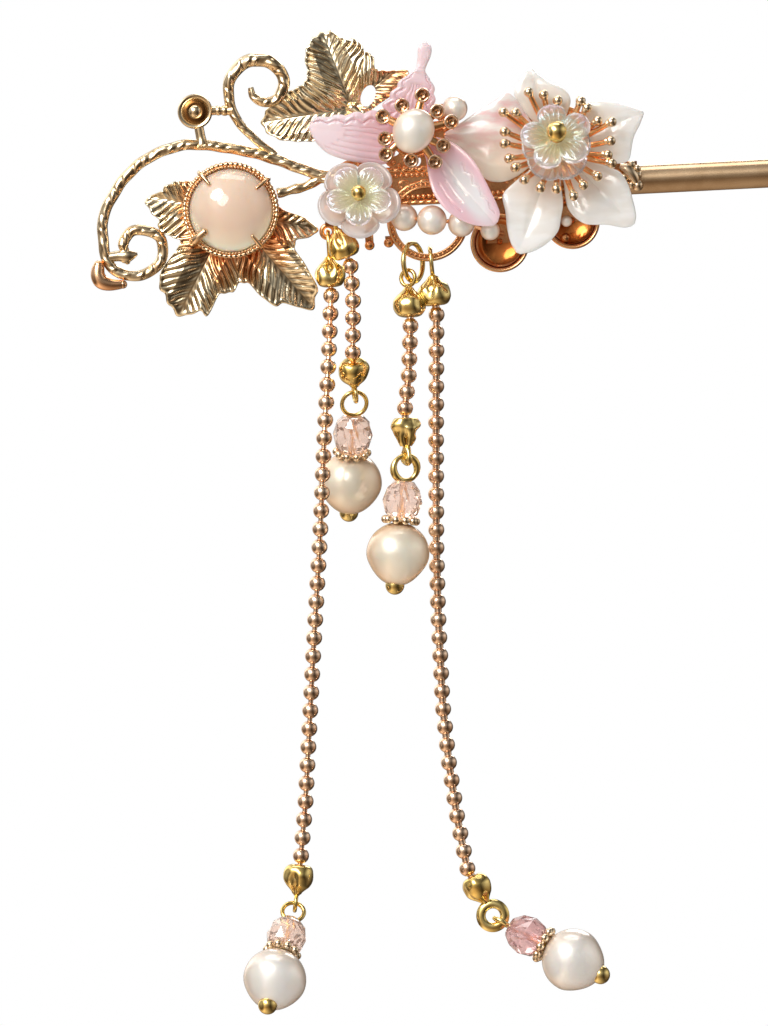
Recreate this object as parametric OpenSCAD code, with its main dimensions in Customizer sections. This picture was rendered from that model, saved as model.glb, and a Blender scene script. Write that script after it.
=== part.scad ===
// Buyao hairpin: a round gold stick whose head carries a cast scroll with a moonstone, two ribbed leaves,
// a butterfly, glass and shell flowers, strung pearls and four hanging strands that end in pearl drops.
// The stick runs along +X, +Z is up and -Y faces the viewer. Depth is counted forward from the stick's axis.

/* [Stick] */
// Diameter of the stick
stick_d = 3.5; // [2.5:0.1:5]
// Length of the stick from end to end
stick_l = 125; // [95:1:180]
// Length of the stick that lies behind the ornament
stick_hidden_l = 29; // [20:1:36]
// Length of the taper at the free end
stick_taper_l = 12; // [4:1:30]
// Diameter of the rounded free end
stick_tip_d = 2.2; // [1:0.1:2.4]

/* [Clearances] */
// Gap left between pieces that are glued, wired or strung together
gap = 0.1; // [0.05:0.01:0.2]

/* [Back plate] */
// Thickness of the back plate
plate_t = 0.9; // [0.6:0.1:1.5]
// Width of the spine that lies on the stick
spine_w = 4.6; // [3:0.1:6]
// Diameter of the pierced disc behind the small flower
left_disc_d = 8; // [6:0.1:9]
// Diameter of the pierced disc behind the butterfly
mid_disc_d = 9.2; // [7:0.1:10]
// Diameter of the pierced disc behind the shell flower
right_disc_d = 10.4; // [8:0.1:12]
// Diameter of the holes pierced in the discs
pierce_d = 1.5; // [0.8:0.1:1.8]
// Width of the collars round the stick
collar_w = 3; // [2:0.1:5]
// Wall of the collars round the stick
collar_wall = 0.6; // [0.4:0.1:1]

/* [Open ring] */
// Outer diameter of the open ring
ring_d = 9.6; // [8:0.1:11]
// Width of the open ring's band
ring_band_w = 0.8; // [0.6:0.1:1.2]
// Height of the milled edge on the open ring
ring_mill_h = 0.2; // [0.1:0.05:0.4]

/* [Cups] */
// Diameter of the left cup
left_cup_d = 7; // [5:0.1:8]
// Diameter of the right cup
right_cup_d = 6.5; // [5:0.1:7.5]
// Depth of the cups
cup_depth = 1.7; // [1:0.1:2]
// Wall of the cups
cup_wall = 0.45; // [0.3:0.05:0.8]

/* [Scroll] */
// Width of the large scroll
scroll_w = 26; // [22:0.1:30]
// Height of the small scroll
small_scroll_h = 11.5; // [9:0.1:14]
// Diameter of the scroll's bar
bar_d = 1.3; // [1:0.1:1.8]
// Diameter of the round boss
boss_d = 4.2; // [3:0.1:5]

/* [Leaves] */
// Width of the upper leaf
upper_leaf_w = 17.9; // [14:0.1:21]
// Width of the lower leaf
lower_leaf_w = 20.3; // [17:0.1:23]
// Thickness of the leaves
leaf_t = 0.55; // [0.4:0.05:0.8]
// Height of the leaves' ribs
leaf_rib = 0.14; // [0.05:0.01:0.2]

/* [Moonstone] */
// Diameter of the moonstone
stone_d = 10; // [8:0.1:11]
// Height of the moonstone
stone_h = 3.9; // [2.5:0.1:5]
// Wall of the setting
setting_wall = 0.6; // [0.4:0.1:0.9]
// Height of the setting's wall
setting_h = 1.9; // [1.4:0.1:2.5]
// Diameter of the claws
claw_d = 0.8; // [0.5:0.1:1]

/* [Butterfly] */
// Length of the left wing
left_wing_l = 10.6; // [9:0.1:12]
// Length of the top wing with its tail
top_wing_l = 10.4; // [9:0.1:12]
// Length of the right wing
right_wing_l = 12.6; // [10:0.1:14]
// Thickness of the wings
wing_t = 0.75; // [0.5:0.05:1]

/* [Rosette] */
// Number of arms on the rosette
rosette_arms = 10; // [8:1:12]
// Radius from the rosette's centre to the middle of its curls
rosette_r = 4; // [3.5:0.1:5]
// Diameter of the curl at the end of an arm
curl_d = 1.75; // [1.2:0.05:2]
// Diameter of the rosette's pearl
rosette_pearl_d = 5.4; // [4:0.1:6]

/* [Glass flowers] */
// Diameter of the small crystal flower
left_crystal_d = 8; // [6:0.1:9]
// Diameter of the frosted flower under it
left_frosted_d = 10.2; // [8:0.1:11]
// Diameter of the large crystal flower
right_crystal_d = 8.8; // [7:0.1:10]
// Diameter of the frosted cup under it
right_frosted_d = 8.4; // [6:0.1:9]
// Diameter of the wires and pins
wire_d = 0.5; // [0.4:0.05:0.6]
// Diameter of the gold ball in the small flower
left_ball_d = 1.85; // [1.4:0.05:2.2]
// Diameter of the gold ball in the large flower
right_ball_d = 2.5; // [1.8:0.05:3]

/* [Shell flower] */
// Length of the shell petals
shell_petal_l = 9.6; // [8:0.1:11]
// Thickness of the shell petals
shell_t = 1.1; // [0.8:0.05:1.4]
// Radius at which the shell petals start
shell_root_r = 2.2; // [1.8:0.1:3]

/* [Stamens] */
// Number of stamens
stamens = 22; // [16:1:26]
// Radius from the flower's centre to the stamens' tips
stamen_r = 6.5; // [5:0.1:7.5]
// Diameter of a stamen's stalk
stamen_d = 0.5; // [0.4:0.05:0.7]
// Diameter of a stamen's ball
stamen_ball_d = 1.15; // [0.8:0.05:1.4]

/* [Strands] */
// Diameter of the chain's balls
ball_d = 1.85; // [1.4:0.05:2]
// Diameter of the wire inside the chains
chain_wire_d = 0.6; // [0.4:0.05:0.8]
// Height of a bead tip's bell
bell_h = 3.6; // [2.8:0.1:4]
// Diameter of a bead tip's bell
bell_d = 3.4; // [2.6:0.1:3.6]
// Radius of the jump ring, to the middle of its wire
jump_r = 2.3; // [2.1:0.05:2.8]

/* [Drops] */
// Diameter of the drops' pearls
drop_pearl_d = 7.7; // [6:0.1:8.5]
// Diameter of the drops' faceted beads
drop_crystal_d = 4.8; // [4:0.1:5.5]
// Height of the drops' faceted beads
drop_crystal_h = 4.2; // [3.5:0.1:5.5]
// Diameter of a spacer's balls
spacer_ball_d = 1; // [0.7:0.05:1.2]
// Diameter of the ball under a pearl
pin_ball_d = 2.1; // [1.5:0.1:2.6]

/* [Hidden] */

pale_gold = "#d8c39a";
rose_gold = "#cf9468";
bright_gold = "#d9b64a";
pearl_white = "#f2e9e0";
wing_pink = "#ecc0d2";
frosted_pink = "#f1d3c8";
crystal_green = "#dfe3c4";
crystal_pink = "#eccbc6";
shell_white = "#f4eee6";

stick_r = stick_d / 2;
plate_back = stick_r + gap;
plate_front = plate_back + plate_t;
on_plate = plate_front + gap;

// Places in the picture plane, as x and z in millimetres
left_disc_at = [-33.7, 0.2];
mid_disc_at = [-26.9, 6.4];
right_disc_at = [-9.8, 4.2];
ring_at = [-25.7, -3.7];
left_cup_at = [-17.2, -6.8];
right_cup_at = [-8.4, -4.7];
spine_from_x = -37.3;
spine_to_x = -1.6;
collar_xs = [-22, -3.4];
scroll_root_at = [-38.9, 2.6];
scroll_pad_at = [-36.4, 2.1];
stone_at = [-49.2, -1.3];
boss_at = [-52.9, 10.75];
upper_leaf_at = [-34.1, 10.2];
left_eye = [-37.7, -2.07, -4.41];
// The lower leaf grows away from the strand at its right: its lobe reaches this share of its width
lower_leaf_reach = 0.48;
leaf_side_gap = 0.06;
lower_leaf_at = [left_eye[0] - bell_d / 2 - leaf_side_gap - lower_leaf_reach * lower_leaf_w, -1.6];
left_wing_at = [-28.9, 6.4];
top_wing_at = [-27.3, 7.6];
right_wing_at = [-25.2, 5.3];
rosette_at = [-26.9, 7];
left_bloom_at = [-33.8, -1.3];
right_bloom_at = [-9.8, 4];

function unit(v) = v / norm(v);

// A loft joins closed loops with an even number of points each; a ring of loops may close on itself
module loft(loops, closed = false) {
  n = len(loops);
  m = len(loops[0]);
  last = closed ? n - 1 : n - 2;
  sides = [
    for (i = [0:last], j = [0:m - 1])
      let (next = (j + 1) % m, up = (i + 1) % n)
      let (a = i * m + j, b = i * m + next, c = up * m + next, d = up * m + j)
      each [[a, b, c], [a, c, d]]
  ];
  cap = [
    for (j = [0:m / 2 - 2])
      each [[j, m - 2 - j, j + 1], [j, m - 1 - j, m - 2 - j]]
  ];
  end = (n - 1) * m;
  far_cap = [for (f = cap) [f[0] + end, f[2] + end, f[1] + end]];
  polyhedron(points = [for (loop = loops) each loop], faces = closed ? sides : concat(sides, cap, far_cap));
}

// Points of a smooth curve through the given points, with the given steps between each two
function curve_step(a, b, c, d, t) =
  0.5 * (2 * b + (c - a) * t + (2 * a - 5 * b + 4 * c - d) * t * t + (3 * b - a - 3 * c + d) * t * t * t);
function curve(p, steps) = [
  for (i = [0:len(p) - 2], k = [0:steps - 1])
    curve_step(p[max(i - 1, 0)], p[i], p[i + 1], p[min(i + 2, len(p) - 1)], k / steps),
  p[len(p) - 1]
];

// A round bar along a path, with a radius for each of its points
function bar_loop(p, dir, r, sides) =
  let (a = unit(cross(dir, [0, 1, 0])), b = cross(a, dir))
  [for (k = [0:sides - 1]) p + r * (cos(360 * k / sides) * a + sin(360 * k / sides) * b)];
module bar(path, radii, sides = 8) {
  last = len(path) - 1;
  loft([
    for (i = [0:last])
      bar_loop(path[i], unit(path[min(i + 1, last)] - path[max(i - 1, 0)]), radii[i], sides)
  ]);
}

// A blade is a leaf lobe, wing or petal: rows hold share along, left and right half-width and rise
blade_halves = 3;
function blade_loop(rows, l, t, fold, crown, s) =
  let (
    rise = l * lookup(s, [for (r = rows) [r[0], r[3]]]),
    pts = [
      for (j = [-blade_halves:blade_halves])
        let (u = j / blade_halves, w = l * lookup(s, [for (r = rows) [r[0], u < 0 ? r[1] : r[2]]]))
        [u * w, l * s, rise + fold * abs(u) * w + crown * (1 - u * u)]
    ]
  )
  concat([for (p = pts) p + [0, 0, t / 2]], [for (j = [len(pts) - 1:-1:0]) pts[j] - [0, 0, t / 2]]);
module blade(rows, l, t, fold = 0, crown = 0, n = 12) {
  loft([for (i = [0:n]) blade_loop(rows, l, t, fold, crown, i / n)]);
}

// Places a child, drawn in the picture plane with +Z to the viewer, at a place and depth
module facing(at, depth, turn = 0, tilt = 0) {
  translate([at[0], -depth, at[1]]) rotate([90, 0, 0]) rotate([-tilt, 0, 0]) rotate([0, 0, turn]) children();
}

// Places a child so that its own -Z runs along a direction, with its X kept near the part's X
module aimed(at, dir, spin = 0) {
  v = -unit(dir);
  turn = atan2(v[1], v[0]);
  translate(at) rotate([0, acos(v[2]), turn]) rotate([0, 0, spin - turn]) children();
}

module wire_ring(r, d) {
  rotate([90, 0, 0]) rotate_extrude($fn = 48) translate([r, 0]) circle(d = d, $fn = 24);
}

// A round bead with a drilled hole along Z
module drilled_bead(d, hole_d) {
  rotate_extrude($fn = 48) difference() {
    intersection() {
      circle(d = d, $fn = 48);
      translate([0, -d]) square([d, 2 * d]);
    }
    translate([-1, -d]) square([1 + hole_d / 2, 2 * d]);
  }
}

stick_chamfer = 0.4;
module stick() {
  tip_r = stick_tip_d / 2;
  color(pale_gold) translate([-stick_hidden_l, 0, 0]) rotate([0, 90, 0]) rotate_extrude($fn = 64) polygon([
    [0, 0], [stick_r - stick_chamfer, 0], [stick_r, stick_chamfer],
    [stick_r, stick_l - stick_taper_l],
    for (k = [0:6]) [tip_r * cos(15 * k), stick_l - tip_r + tip_r * sin(15 * k)]
  ]);
}

pierced_n = 6;
module pierced_disc(at, d) {
  translate(at) difference() {
    circle(d = d, $fn = 64);
    for (k = [0:pierced_n - 1])
      rotate(360 * k / pierced_n + 30) translate([0.62 * d / 2, 0]) circle(d = pierce_d, $fn = 24);
  }
}

milled_n = 44;
module milled_ring(inner_r, outer_r, h) {
  tooth = 0.12;
  linear_extrude(h) difference() {
    polygon([
      for (k = [0:2 * milled_n - 1])
        (outer_r - (k % 2) * tooth) * [cos(180 * k / milled_n), sin(180 * k / milled_n)]
    ]);
    circle(r = inner_r, $fn = 64);
  }
}

module cup(d) {
  r = d / 2;
  steps = 5;
  rotate_extrude($fn = 64) polygon([
    [0, 0],
    for (k = [1:steps]) [r * sin(18 * k), cup_depth * (1 - cos(18 * k))],
    for (k = [steps:-1:1])
      [(r - cup_wall) * sin(18 * k), cup_wall + (cup_depth - cup_wall) * (1 - cos(18 * k))],
    [0, cup_wall]
  ]);
}

eye_r = 0.75;
eye_d = 0.6;
front_eye = [-37.15, -4.1, -2.3];
spine_rise = 0.6;
cup_arm_w = 3;
// Small tabs of the plate: x and z of the lower left corner, width and height
tabs = [[-33.3, -6.3, 1, 4], [-30.9, -6.1, 1.6, 0.8], [-1.9, -0.8, 1.6, 3], [-24, 8.7, 2.9, 1.5]];
// Balls soldered on the plate: x, z and depth
trim_ball_d = 1.2;
trims = [[-0.6, -0.2, 2.6], [-1.9, 1.6, 2.5], [-9.3, -6.6, 2.9], [-30.5, -6.1, 2.6], [-32.8, -6.3, 2.6]];
module cup_arm(at) {
  translate([at[0] - cup_arm_w / 2, at[1]]) square([cup_arm_w, -at[1]]);
}
module back_plate() {
  ring_r = ring_d / 2;
  color(rose_gold) {
    facing([0, 0], plate_back) {
      linear_extrude(plate_t) {
        translate([spine_from_x, spine_rise - spine_w / 2]) square([spine_to_x - spine_from_x, spine_w]);
        cup_arm(left_cup_at);
        cup_arm(right_cup_at);
        pierced_disc(left_disc_at, left_disc_d);
        pierced_disc(mid_disc_at, mid_disc_d);
        pierced_disc(right_disc_at, right_disc_d);
        translate([left_eye[0] - eye_d / 2, left_eye[2] + eye_r]) square([4, 3.4]);
        for (t = tabs) translate([t[0], t[1]]) square([t[2], t[3]]);
      }
    }
    facing(ring_at, plate_back) {
      linear_extrude(plate_t) difference() {
        circle(r = ring_r, $fn = 64);
        circle(r = ring_r - ring_band_w, $fn = 64);
      }
      translate([0, 0, plate_t - 0.01])
        milled_ring(ring_r - ring_band_w, ring_r - 0.25, ring_mill_h + 0.01);
    }
    facing(left_cup_at, plate_back) cup(left_cup_d);
    facing(right_cup_at, plate_back) cup(right_cup_d);
    for (x = collar_xs) translate([x, 0, 0]) rotate([0, 90, 0]) difference() {
      cylinder(r = plate_back + collar_wall, h = collar_w, center = true, $fn = 64);
      cylinder(r = plate_back, h = collar_w + 1, center = true, $fn = 64);
    }
    translate(left_eye) wire_ring(eye_r, eye_d);
    translate(front_eye) wire_ring(eye_r, eye_d);
    translate([front_eye[0], -plate_back, front_eye[2] + eye_r]) rotate([90, 0, 0])
      cylinder(d = eye_d, h = -front_eye[1] - plate_back, $fn = 24);
    for (t = trims) translate([t[0], -t[2], t[1]]) sphere(d = trim_ball_d, $fn = 24);
  }
}

// Shares of the large scroll's width, from its root
large_scroll = [
  [0, 0], [-0.17, 0.07], [-0.3, 0.115], [-0.49, 0.155], [-0.62, 0.158], [-0.76, 0.112], [-0.865, 0.034],
  [-0.94, -0.064], [-0.988, -0.172], [-0.98, -0.345], [-0.925, -0.41], [-0.845, -0.43], [-0.76, -0.4],
  [-0.72, -0.338], [-0.726, -0.266], [-0.78, -0.226], [-0.852, -0.223], [-0.894, -0.264], [-0.9, -0.315]
];
// Shares of the small scroll's height, from its foot on the large scroll, and its bar's share of bar_d
small_scroll_at = [-43.5, 5];
small_scroll = [
  [0, 0, 0.7], [-0.22, 0.19, 0.75], [-0.38, 0.385, 0.85], [-0.445, 0.55, 0.95], [-0.455, 0.75, 1.05],
  [-0.37, 0.91, 1.15], [-0.22, 1, 1.25], [-0.055, 0.99, 1.25], [0.085, 0.885, 1.15], [0.12, 0.735, 1.1],
  [0.05, 0.595, 1], [-0.1, 0.56, 0.9], [-0.2, 0.625, 0.75], [-0.225, 0.72, 0.5]
];
scroll_depth = on_plate + bar_d / 2;
function in_plane(p, depth) = [p[0], -depth, p[1]];
function flat_path(places, sink) = [for (p = places) in_plane(p, scroll_depth - sink)];

// The scroll's smaller bars: radius, how far each lies behind the scroll's middle, and its way
small_sink = 0.02;
stem_sink = 0.06;
arm_sink = 0.09;
branch_sink = 0.04;
tab_sink = -0.1;
module small_bar(places, r, sink) {
  bar(flat_path(places, sink), [for (p = places) r]);
}
module scroll_frame() {
  steps = 3;
  boss_r = boss_d / 2;
  large_places = concat([scroll_pad_at], [for (p = large_scroll) scroll_root_at + scroll_w * p]);
  large = curve(flat_path(large_places, 0), steps);
  small_places = [for (p = small_scroll) small_scroll_at + small_scroll_h * [p[0], p[1]]];
  small = curve(flat_path(small_places, small_sink), steps);
  small_share = curve([for (p = small_scroll) [p[2], 0, 0]], steps);
  large_end = len(large) - 1;
  tab_at = scroll_root_at + scroll_w * [-0.975, -0.42];
  knob_at = scroll_root_at + scroll_w * [-0.84, -0.355];
  arm_from = scroll_root_at + scroll_w * [-0.98, -0.34];
  side_stem_to = small_scroll_at + small_scroll_h * [-0.43, 0.49];
  foot_stem_to = scroll_root_at + scroll_w * [-0.512, 0.15];
  branch_from = stone_at + (bezel_r + claw_d / 2) * unit([5.4, 1.7]);
  color(pale_gold) {
    bar(large, [for (i = [0:large_end]) bar_d / 2 * (i > large_end - 3 ? 0.75 : 1)]);
    bar(small, [for (p = small_share) bar_d / 2 * p[0]]);
    facing(boss_at, scroll_depth - bar_d / 2) rotate_extrude($fn = 24) polygon([
      [0, 0], [boss_r - 0.4, 0], [boss_r, 0.5], [boss_r, 1.2], [boss_r - 0.5, 1.3],
      [boss_r - 0.8, 0.7], [0.9, 0.7], [0.85, 1.4], [0.5, 1.8], [0, 1.9]
    ]);
    small_bar([boss_at + [boss_r - 0.3, 0], side_stem_to], 0.52, stem_sink);
    small_bar([boss_at - [-0.35, boss_r - 0.35], foot_stem_to], 0.6, stem_sink);
    small_bar([for (p = [[-1.1, 1.2], [-1.2, 0], [-0.2, -1.1], [1.7, -1.2]]) tab_at + p], 0.75, tab_sink);
    small_bar([arm_from, knob_at + [0.1, 0]], 0.48, arm_sink);
    for (lobe = [[0.1, 0.45, 0.6], [0.6, 0.05, 0.55], [0.15, -0.5, 0.5]])
      translate(in_plane(knob_at + [lobe[0], lobe[1]], scroll_depth)) sphere(r = lobe[2], $fn = 24);
    small_bar([branch_from, [-40.2, 1.1], scroll_pad_at + [-0.6, -0.35]], 0.55, branch_sink);
  }
}

// Leaf outlines, counted round the leaf's root: angle, then radius and rise of the edge as shares of the
// leaf's width
upper_leaf_edge = [
  [28, 0.45, -0.02], [42, 0.36, 0], [56, 0.31, 0.02], [66, 0.38, 0.01], [75, 0.4, 0], [83, 0.46, -0.01],
  [94, 0.47, -0.01], [103, 0.54, -0.03], [116, 0.54, -0.02], [128, 0.48, 0], [139, 0.38, 0.02],
  [152, 0.37, 0.02], [165, 0.46, 0], [185, 0.61, -0.03], [197, 0.56, -0.01], [211, 0.4, 0.01],
  [226, 0.28, 0], [267, 0.13, 0], [331, 0.11, 0], [367, 0.19, 0]
];
lower_leaf_edge = [
  [2, 0.3, 0], [40, 0.24, 0], [90, 0.24, 0], [130, 0.25, 0], [151, 0.4, 0], [162, 0.45, 0],
  [167, 0.51, -0.02], [174, 0.49, 0], [183, 0.43, 0.01], [190, 0.44, 0], [208, 0.35, 0.02],
  [219, 0.57, 0], [229, 0.63, -0.02], [241, 0.68, -0.04], [249, 0.61, -0.01], [254, 0.62, -0.02],
  [259, 0.49, 0.01], [268, 0.47, 0], [274, 0.42, 0.02], [282, 0.44, 0.01], [291, 0.59, 0],
  [300, 0.64, -0.02], [306, 0.74, -0.04], [311, 0.72, -0.03], [317, 0.66, 0], [326, 0.46, 0.02],
  [334, 0.42, 0.01], [344, 0.52, -0.02], [350, 0.49, -0.01]
];
leaf_root_r = 0.35;
leaf_dome = 0.03;
leaf_shares = [0, 0.3, 0.65, 1];
function leaf_loop(w, q, r, rise, odd) =
  let (
    tops = [
      for (v = leaf_shares)
        let (rad = leaf_root_r + (r * w - leaf_root_r) * v, h = w * (rise * v * v + leaf_dome * sin(180 * v)))
        [rad * cos(q), rad * sin(q), h + leaf_rib * (odd ? -1 : 1) * (v > 0 ? 1 : 0)]
    ]
  )
  concat([for (p = tops) p + [0, 0, leaf_t]], [for (i = [len(tops) - 1:-1:0]) tops[i]]);
leaf_steps = 3;
module leaf(edge, w) {
  n = len(edge);
  loft([
    for (i = [n - 1:-1:0], k = [leaf_steps - 1:-1:0])
      let (a = edge[i], b = i == n - 1 ? edge[0] + [360, 0, 0] : edge[i + 1])
      let (e = a + (b - a) * k / leaf_steps)
      leaf_loop(w, e[0], e[1], e[2], (i * leaf_steps + k) % 2 == 1)
  ], true);
}
upper_leaf_depth = stick_r + gap;
lower_leaf_depth = 1.5;
leaf_hole_at = [0.1, 0.05];
module upper_leaf() {
  w = upper_leaf_w;
  stem_depth = on_plate + 0.35;
  color(pale_gold) {
    facing(upper_leaf_at, upper_leaf_depth) difference() {
      leaf(upper_leaf_edge, w);
      hull() for (p = [leaf_hole_at, leaf_hole_at + [0.025, 0.055]])
        translate([w * p[0], w * p[1], -2]) cylinder(r = 0.045 * w, h = 6, $fn = 12);
    }
    hull() {
      translate(in_plane(upper_leaf_at, on_plate - 0.2)) sphere(r = 0.6, $fn = 10);
      translate(in_plane([-31.9, 8.3], stem_depth)) sphere(r = 0.35, $fn = 8);
    }
    hull() {
      translate(in_plane([-31.9, 8.3], stem_depth)) sphere(r = 0.35, $fn = 8);
      translate(in_plane([-30.7, 7.2], stem_depth)) sphere(r = 0.35, $fn = 8);
    }
  }
}
module lower_leaf() {
  color(pale_gold) facing(lower_leaf_at, lower_leaf_depth) {
    leaf(lower_leaf_edge, lower_leaf_w);
    cylinder(r = 2, h = leaf_t, $fn = 48);
  }
}

setting_depth = lower_leaf_depth + leaf_t + lower_leaf_w * leaf_dome + leaf_rib + 2 * gap;
setting_floor = 0.45;
bezel_r = stone_d / 2 + gap + setting_wall;
claws_n = 4;
claw_turn = 33;
claw_bend_r = 1;
module stone_setting() {
  claw_z = setting_h - 0.1;
  color(pale_gold) facing(stone_at, setting_depth) {
    rotate_extrude($fn = 64) polygon([
      [1.2, 0], [bezel_r - 1, 0], [bezel_r - 0.2, 0.5], [bezel_r - 0.2, setting_h],
      [stone_d / 2 + gap, setting_h], [stone_d / 2 + gap, setting_floor], [1.2, setting_floor]
    ]);
    translate([0, 0, setting_h - 0.5]) milled_ring(stone_d / 2 + gap + 0.15, bezel_r + 0.05, 0.5);
    for (k = [0:claws_n - 1]) rotate([0, 0, claw_turn + 360 * k / claws_n]) {
      translate([bezel_r - claw_bend_r + 0.25, 0, claw_z]) {
        rotate([90, 0, 0]) rotate_extrude(angle = 105, $fn = 32)
          translate([claw_bend_r, 0]) circle(d = claw_d, $fn = 24);
        rotate([0, -105, 0]) translate([claw_bend_r, 0, 0]) sphere(d = claw_d, $fn = 24);
      }
      translate([bezel_r + 0.25, 0, 0.4]) cylinder(d = claw_d, h = claw_z - 0.4, $fn = 24);
      translate([bezel_r + 0.25, 0, 0.4]) sphere(d = claw_d, $fn = 24);
    }
  }
}

girdle_h = 1;
module moonstone() {
  r = stone_d / 2;
  dome = stone_h - girdle_h;
  sphere_r = (r * r + dome * dome) / (2 * dome);
  color(frosted_pink) facing(stone_at, setting_depth + setting_floor + gap) {
    cylinder(r = r, h = girdle_h, $fn = 64);
    intersection() {
      translate([0, 0, stone_h - sphere_r]) sphere(r = sphere_r, $fn = 96);
      translate([0, 0, girdle_h - 0.01]) cylinder(r = r, h = stone_h, $fn = 64);
    }
  }
}

left_wing_rows = [
  [0, 0.16, 0.14, 0], [0.12, 0.3, 0.3, 0.01], [0.24, 0.33, 0.32, 0.02], [0.42, 0.3, 0.28, 0.035],
  [0.6, 0.27, 0.22, 0.03], [0.76, 0.22, 0.17, 0.02], [0.88, 0.16, 0.13, 0.01], [0.96, 0.09, 0.08, 0],
  [1, 0.03, 0.03, 0]
];
top_wing_rows = [
  [0, 0.1, 0.12, 0], [0.16, 0.26, 0.28, 0.01], [0.3, 0.32, 0.31, 0.02], [0.45, 0.24, 0.25, 0.02],
  [0.58, 0.16, 0.19, 0.02], [0.66, 0.09, 0.12, 0.01], [0.73, 0.045, 0.06, 0], [0.82, 0.05, 0.05, 0],
  [0.91, 0.075, 0.08, 0], [0.97, 0.06, 0.065, 0], [1, 0.02, 0.02, 0]
];
right_wing_rows = [
  [0, 0.08, 0.08, 0], [0.1, 0.14, 0.14, 0], [0.25, 0.21, 0.22, 0.01], [0.45, 0.26, 0.26, 0.03],
  [0.65, 0.26, 0.25, 0.04], [0.8, 0.22, 0.2, 0.03], [0.91, 0.15, 0.14, 0.01], [0.97, 0.09, 0.09, 0],
  [1, 0.03, 0.03, 0]
];
top_wing_depth = on_plate + wing_t / 2;
left_wing_depth = on_plate + 1.5 * wing_t + 0.25;
right_wing_depth = on_plate + shell_t + 1.5 * wing_t + 0.3;
module left_wing() {
  color(wing_pink) facing(left_wing_at, left_wing_depth, 81)
    blade(left_wing_rows, left_wing_l, wing_t, 0.06, 0.15, 14);
}
module top_wing() {
  color(wing_pink) facing(top_wing_at, top_wing_depth, -13)
    blade(top_wing_rows, top_wing_l, wing_t, 0, 0, 18);
}
module right_wing() {
  color(wing_pink) facing(right_wing_at, right_wing_depth) rotate([0, 0, 217]) rotate([9, 0, 0])
    blade(right_wing_rows, right_wing_l, wing_t, 0.3, 0, 14);
}

rosette_depth = right_wing_depth + wing_t / 2 + 1.2;
rosette_cup_r = rosette_pearl_d / 2 - 0.55;
module rosette() {
  curl_r = curl_d / 2;
  color(rose_gold) facing(rosette_at, rosette_depth) {
    difference() {
      cylinder(r = rosette_cup_r, h = 0.6, $fn = 48);
      translate([0, 0, -1]) cylinder(d = wire_d + 2 * gap, h = 3, $fn = 24);
    }
    for (k = [0:rosette_arms - 1]) rotate([0, 0, 360 * k / rosette_arms + 12]) {
      reach = rosette_r + (k % 2 ? 0.35 : -0.3);
      translate([rosette_cup_r - 0.6, -0.3, 0]) cube([reach - rosette_cup_r, 0.6, 0.5]);
      translate([reach, 0, 0]) rotate_extrude($fn = 32) polygon([
        [0, 0], [curl_r - 0.12, 0], [curl_r, 0.25], [curl_r - 0.08, 0.6], [curl_r - 0.3, 0.6],
        [curl_r - 0.4, 0.3], [0.32, 0.3], [0.28, 0.6], [0, 0.72]
      ]);
    }
  }
}
module rosette_pearl() {
  r = rosette_pearl_d / 2;
  color(pearl_white) facing(rosette_at, rosette_depth + 0.6 + gap + r - 0.5) intersection() {
    sphere(r = r, $fn = 64);
    translate([0, 0, r / 2 + 0.25]) cube([3 * r, 3 * r, 3 * r / 2 + r - 0.5], center = true);
  }
}

// A petalled dish: sections all round a drilled centre, as deep as its rise and puffed between its notches
function dish_point(hole, edge, v, q, z) =
  let (rad = hole + (edge - hole) * v) [rad * cos(q), rad * sin(q), z];
function dish_loop(petals, r, notch, rise, puff, t, q, rings) =
  let (
    c = abs(cos(q * petals / 2)),
    hole = wire_d / 2 + gap,
    edge = r * (1 - notch * (1 - sqrt(c))),
    shares = [for (k = [0:rings]) k / rings]
  )
  concat(
    [for (v = shares) dish_point(hole, edge, v, q, t + rise * pow(v, 1.5) + puff * c * sin(180 * v))],
    [for (k = [rings:-1:0]) dish_point(hole, edge, shares[k], q, rise * pow(shares[k], 1.5))]
  );
module petal_dish(petals, r, notch, rise, puff, t, steps = 6, rings = 3) {
  n = petals * steps;
  loft([for (k = [0:n - 1]) dish_loop(petals, r, notch, rise, puff, t, -360 * k / n, rings)], true);
}

left_bloom_tilt = 20;
right_bloom_tilt = 16;
left_bloom_depth = scroll_depth + bar_d / 2 + 1.35;
frosted_t = 0.7;
frosted_rise = 1.3;
crystal_t = 1;
crystal_rise = 0.9;
crystal_puff = 0.5;
module left_bloom(h) {
  facing(left_bloom_at, left_bloom_depth, 0, left_bloom_tilt) translate([0, 0, h]) children();
}
module left_frosted_flower() {
  color(frosted_pink) left_bloom(0) rotate([0, 0, -90])
    petal_dish(5, left_frosted_d / 2, 0.3, frosted_rise, 0, frosted_t);
}
module left_crystal_flower() {
  color(crystal_green) left_bloom(frosted_rise * 0.5 + frosted_t + 2 * gap) rotate([0, 0, -93])
    petal_dish(5, left_crystal_d / 2, 0.45, crystal_rise, crystal_puff, crystal_t);
}
left_ball_h = 3.75;
module left_flower_pin() {
  color(bright_gold) left_bloom(0) {
    translate([0, 0, left_ball_h]) sphere(d = left_ball_d, $fn = 32);
    translate([0, 0, -0.8]) cylinder(d = wire_d, h = left_ball_h + 0.8, $fn = 24);
  }
}

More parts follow.
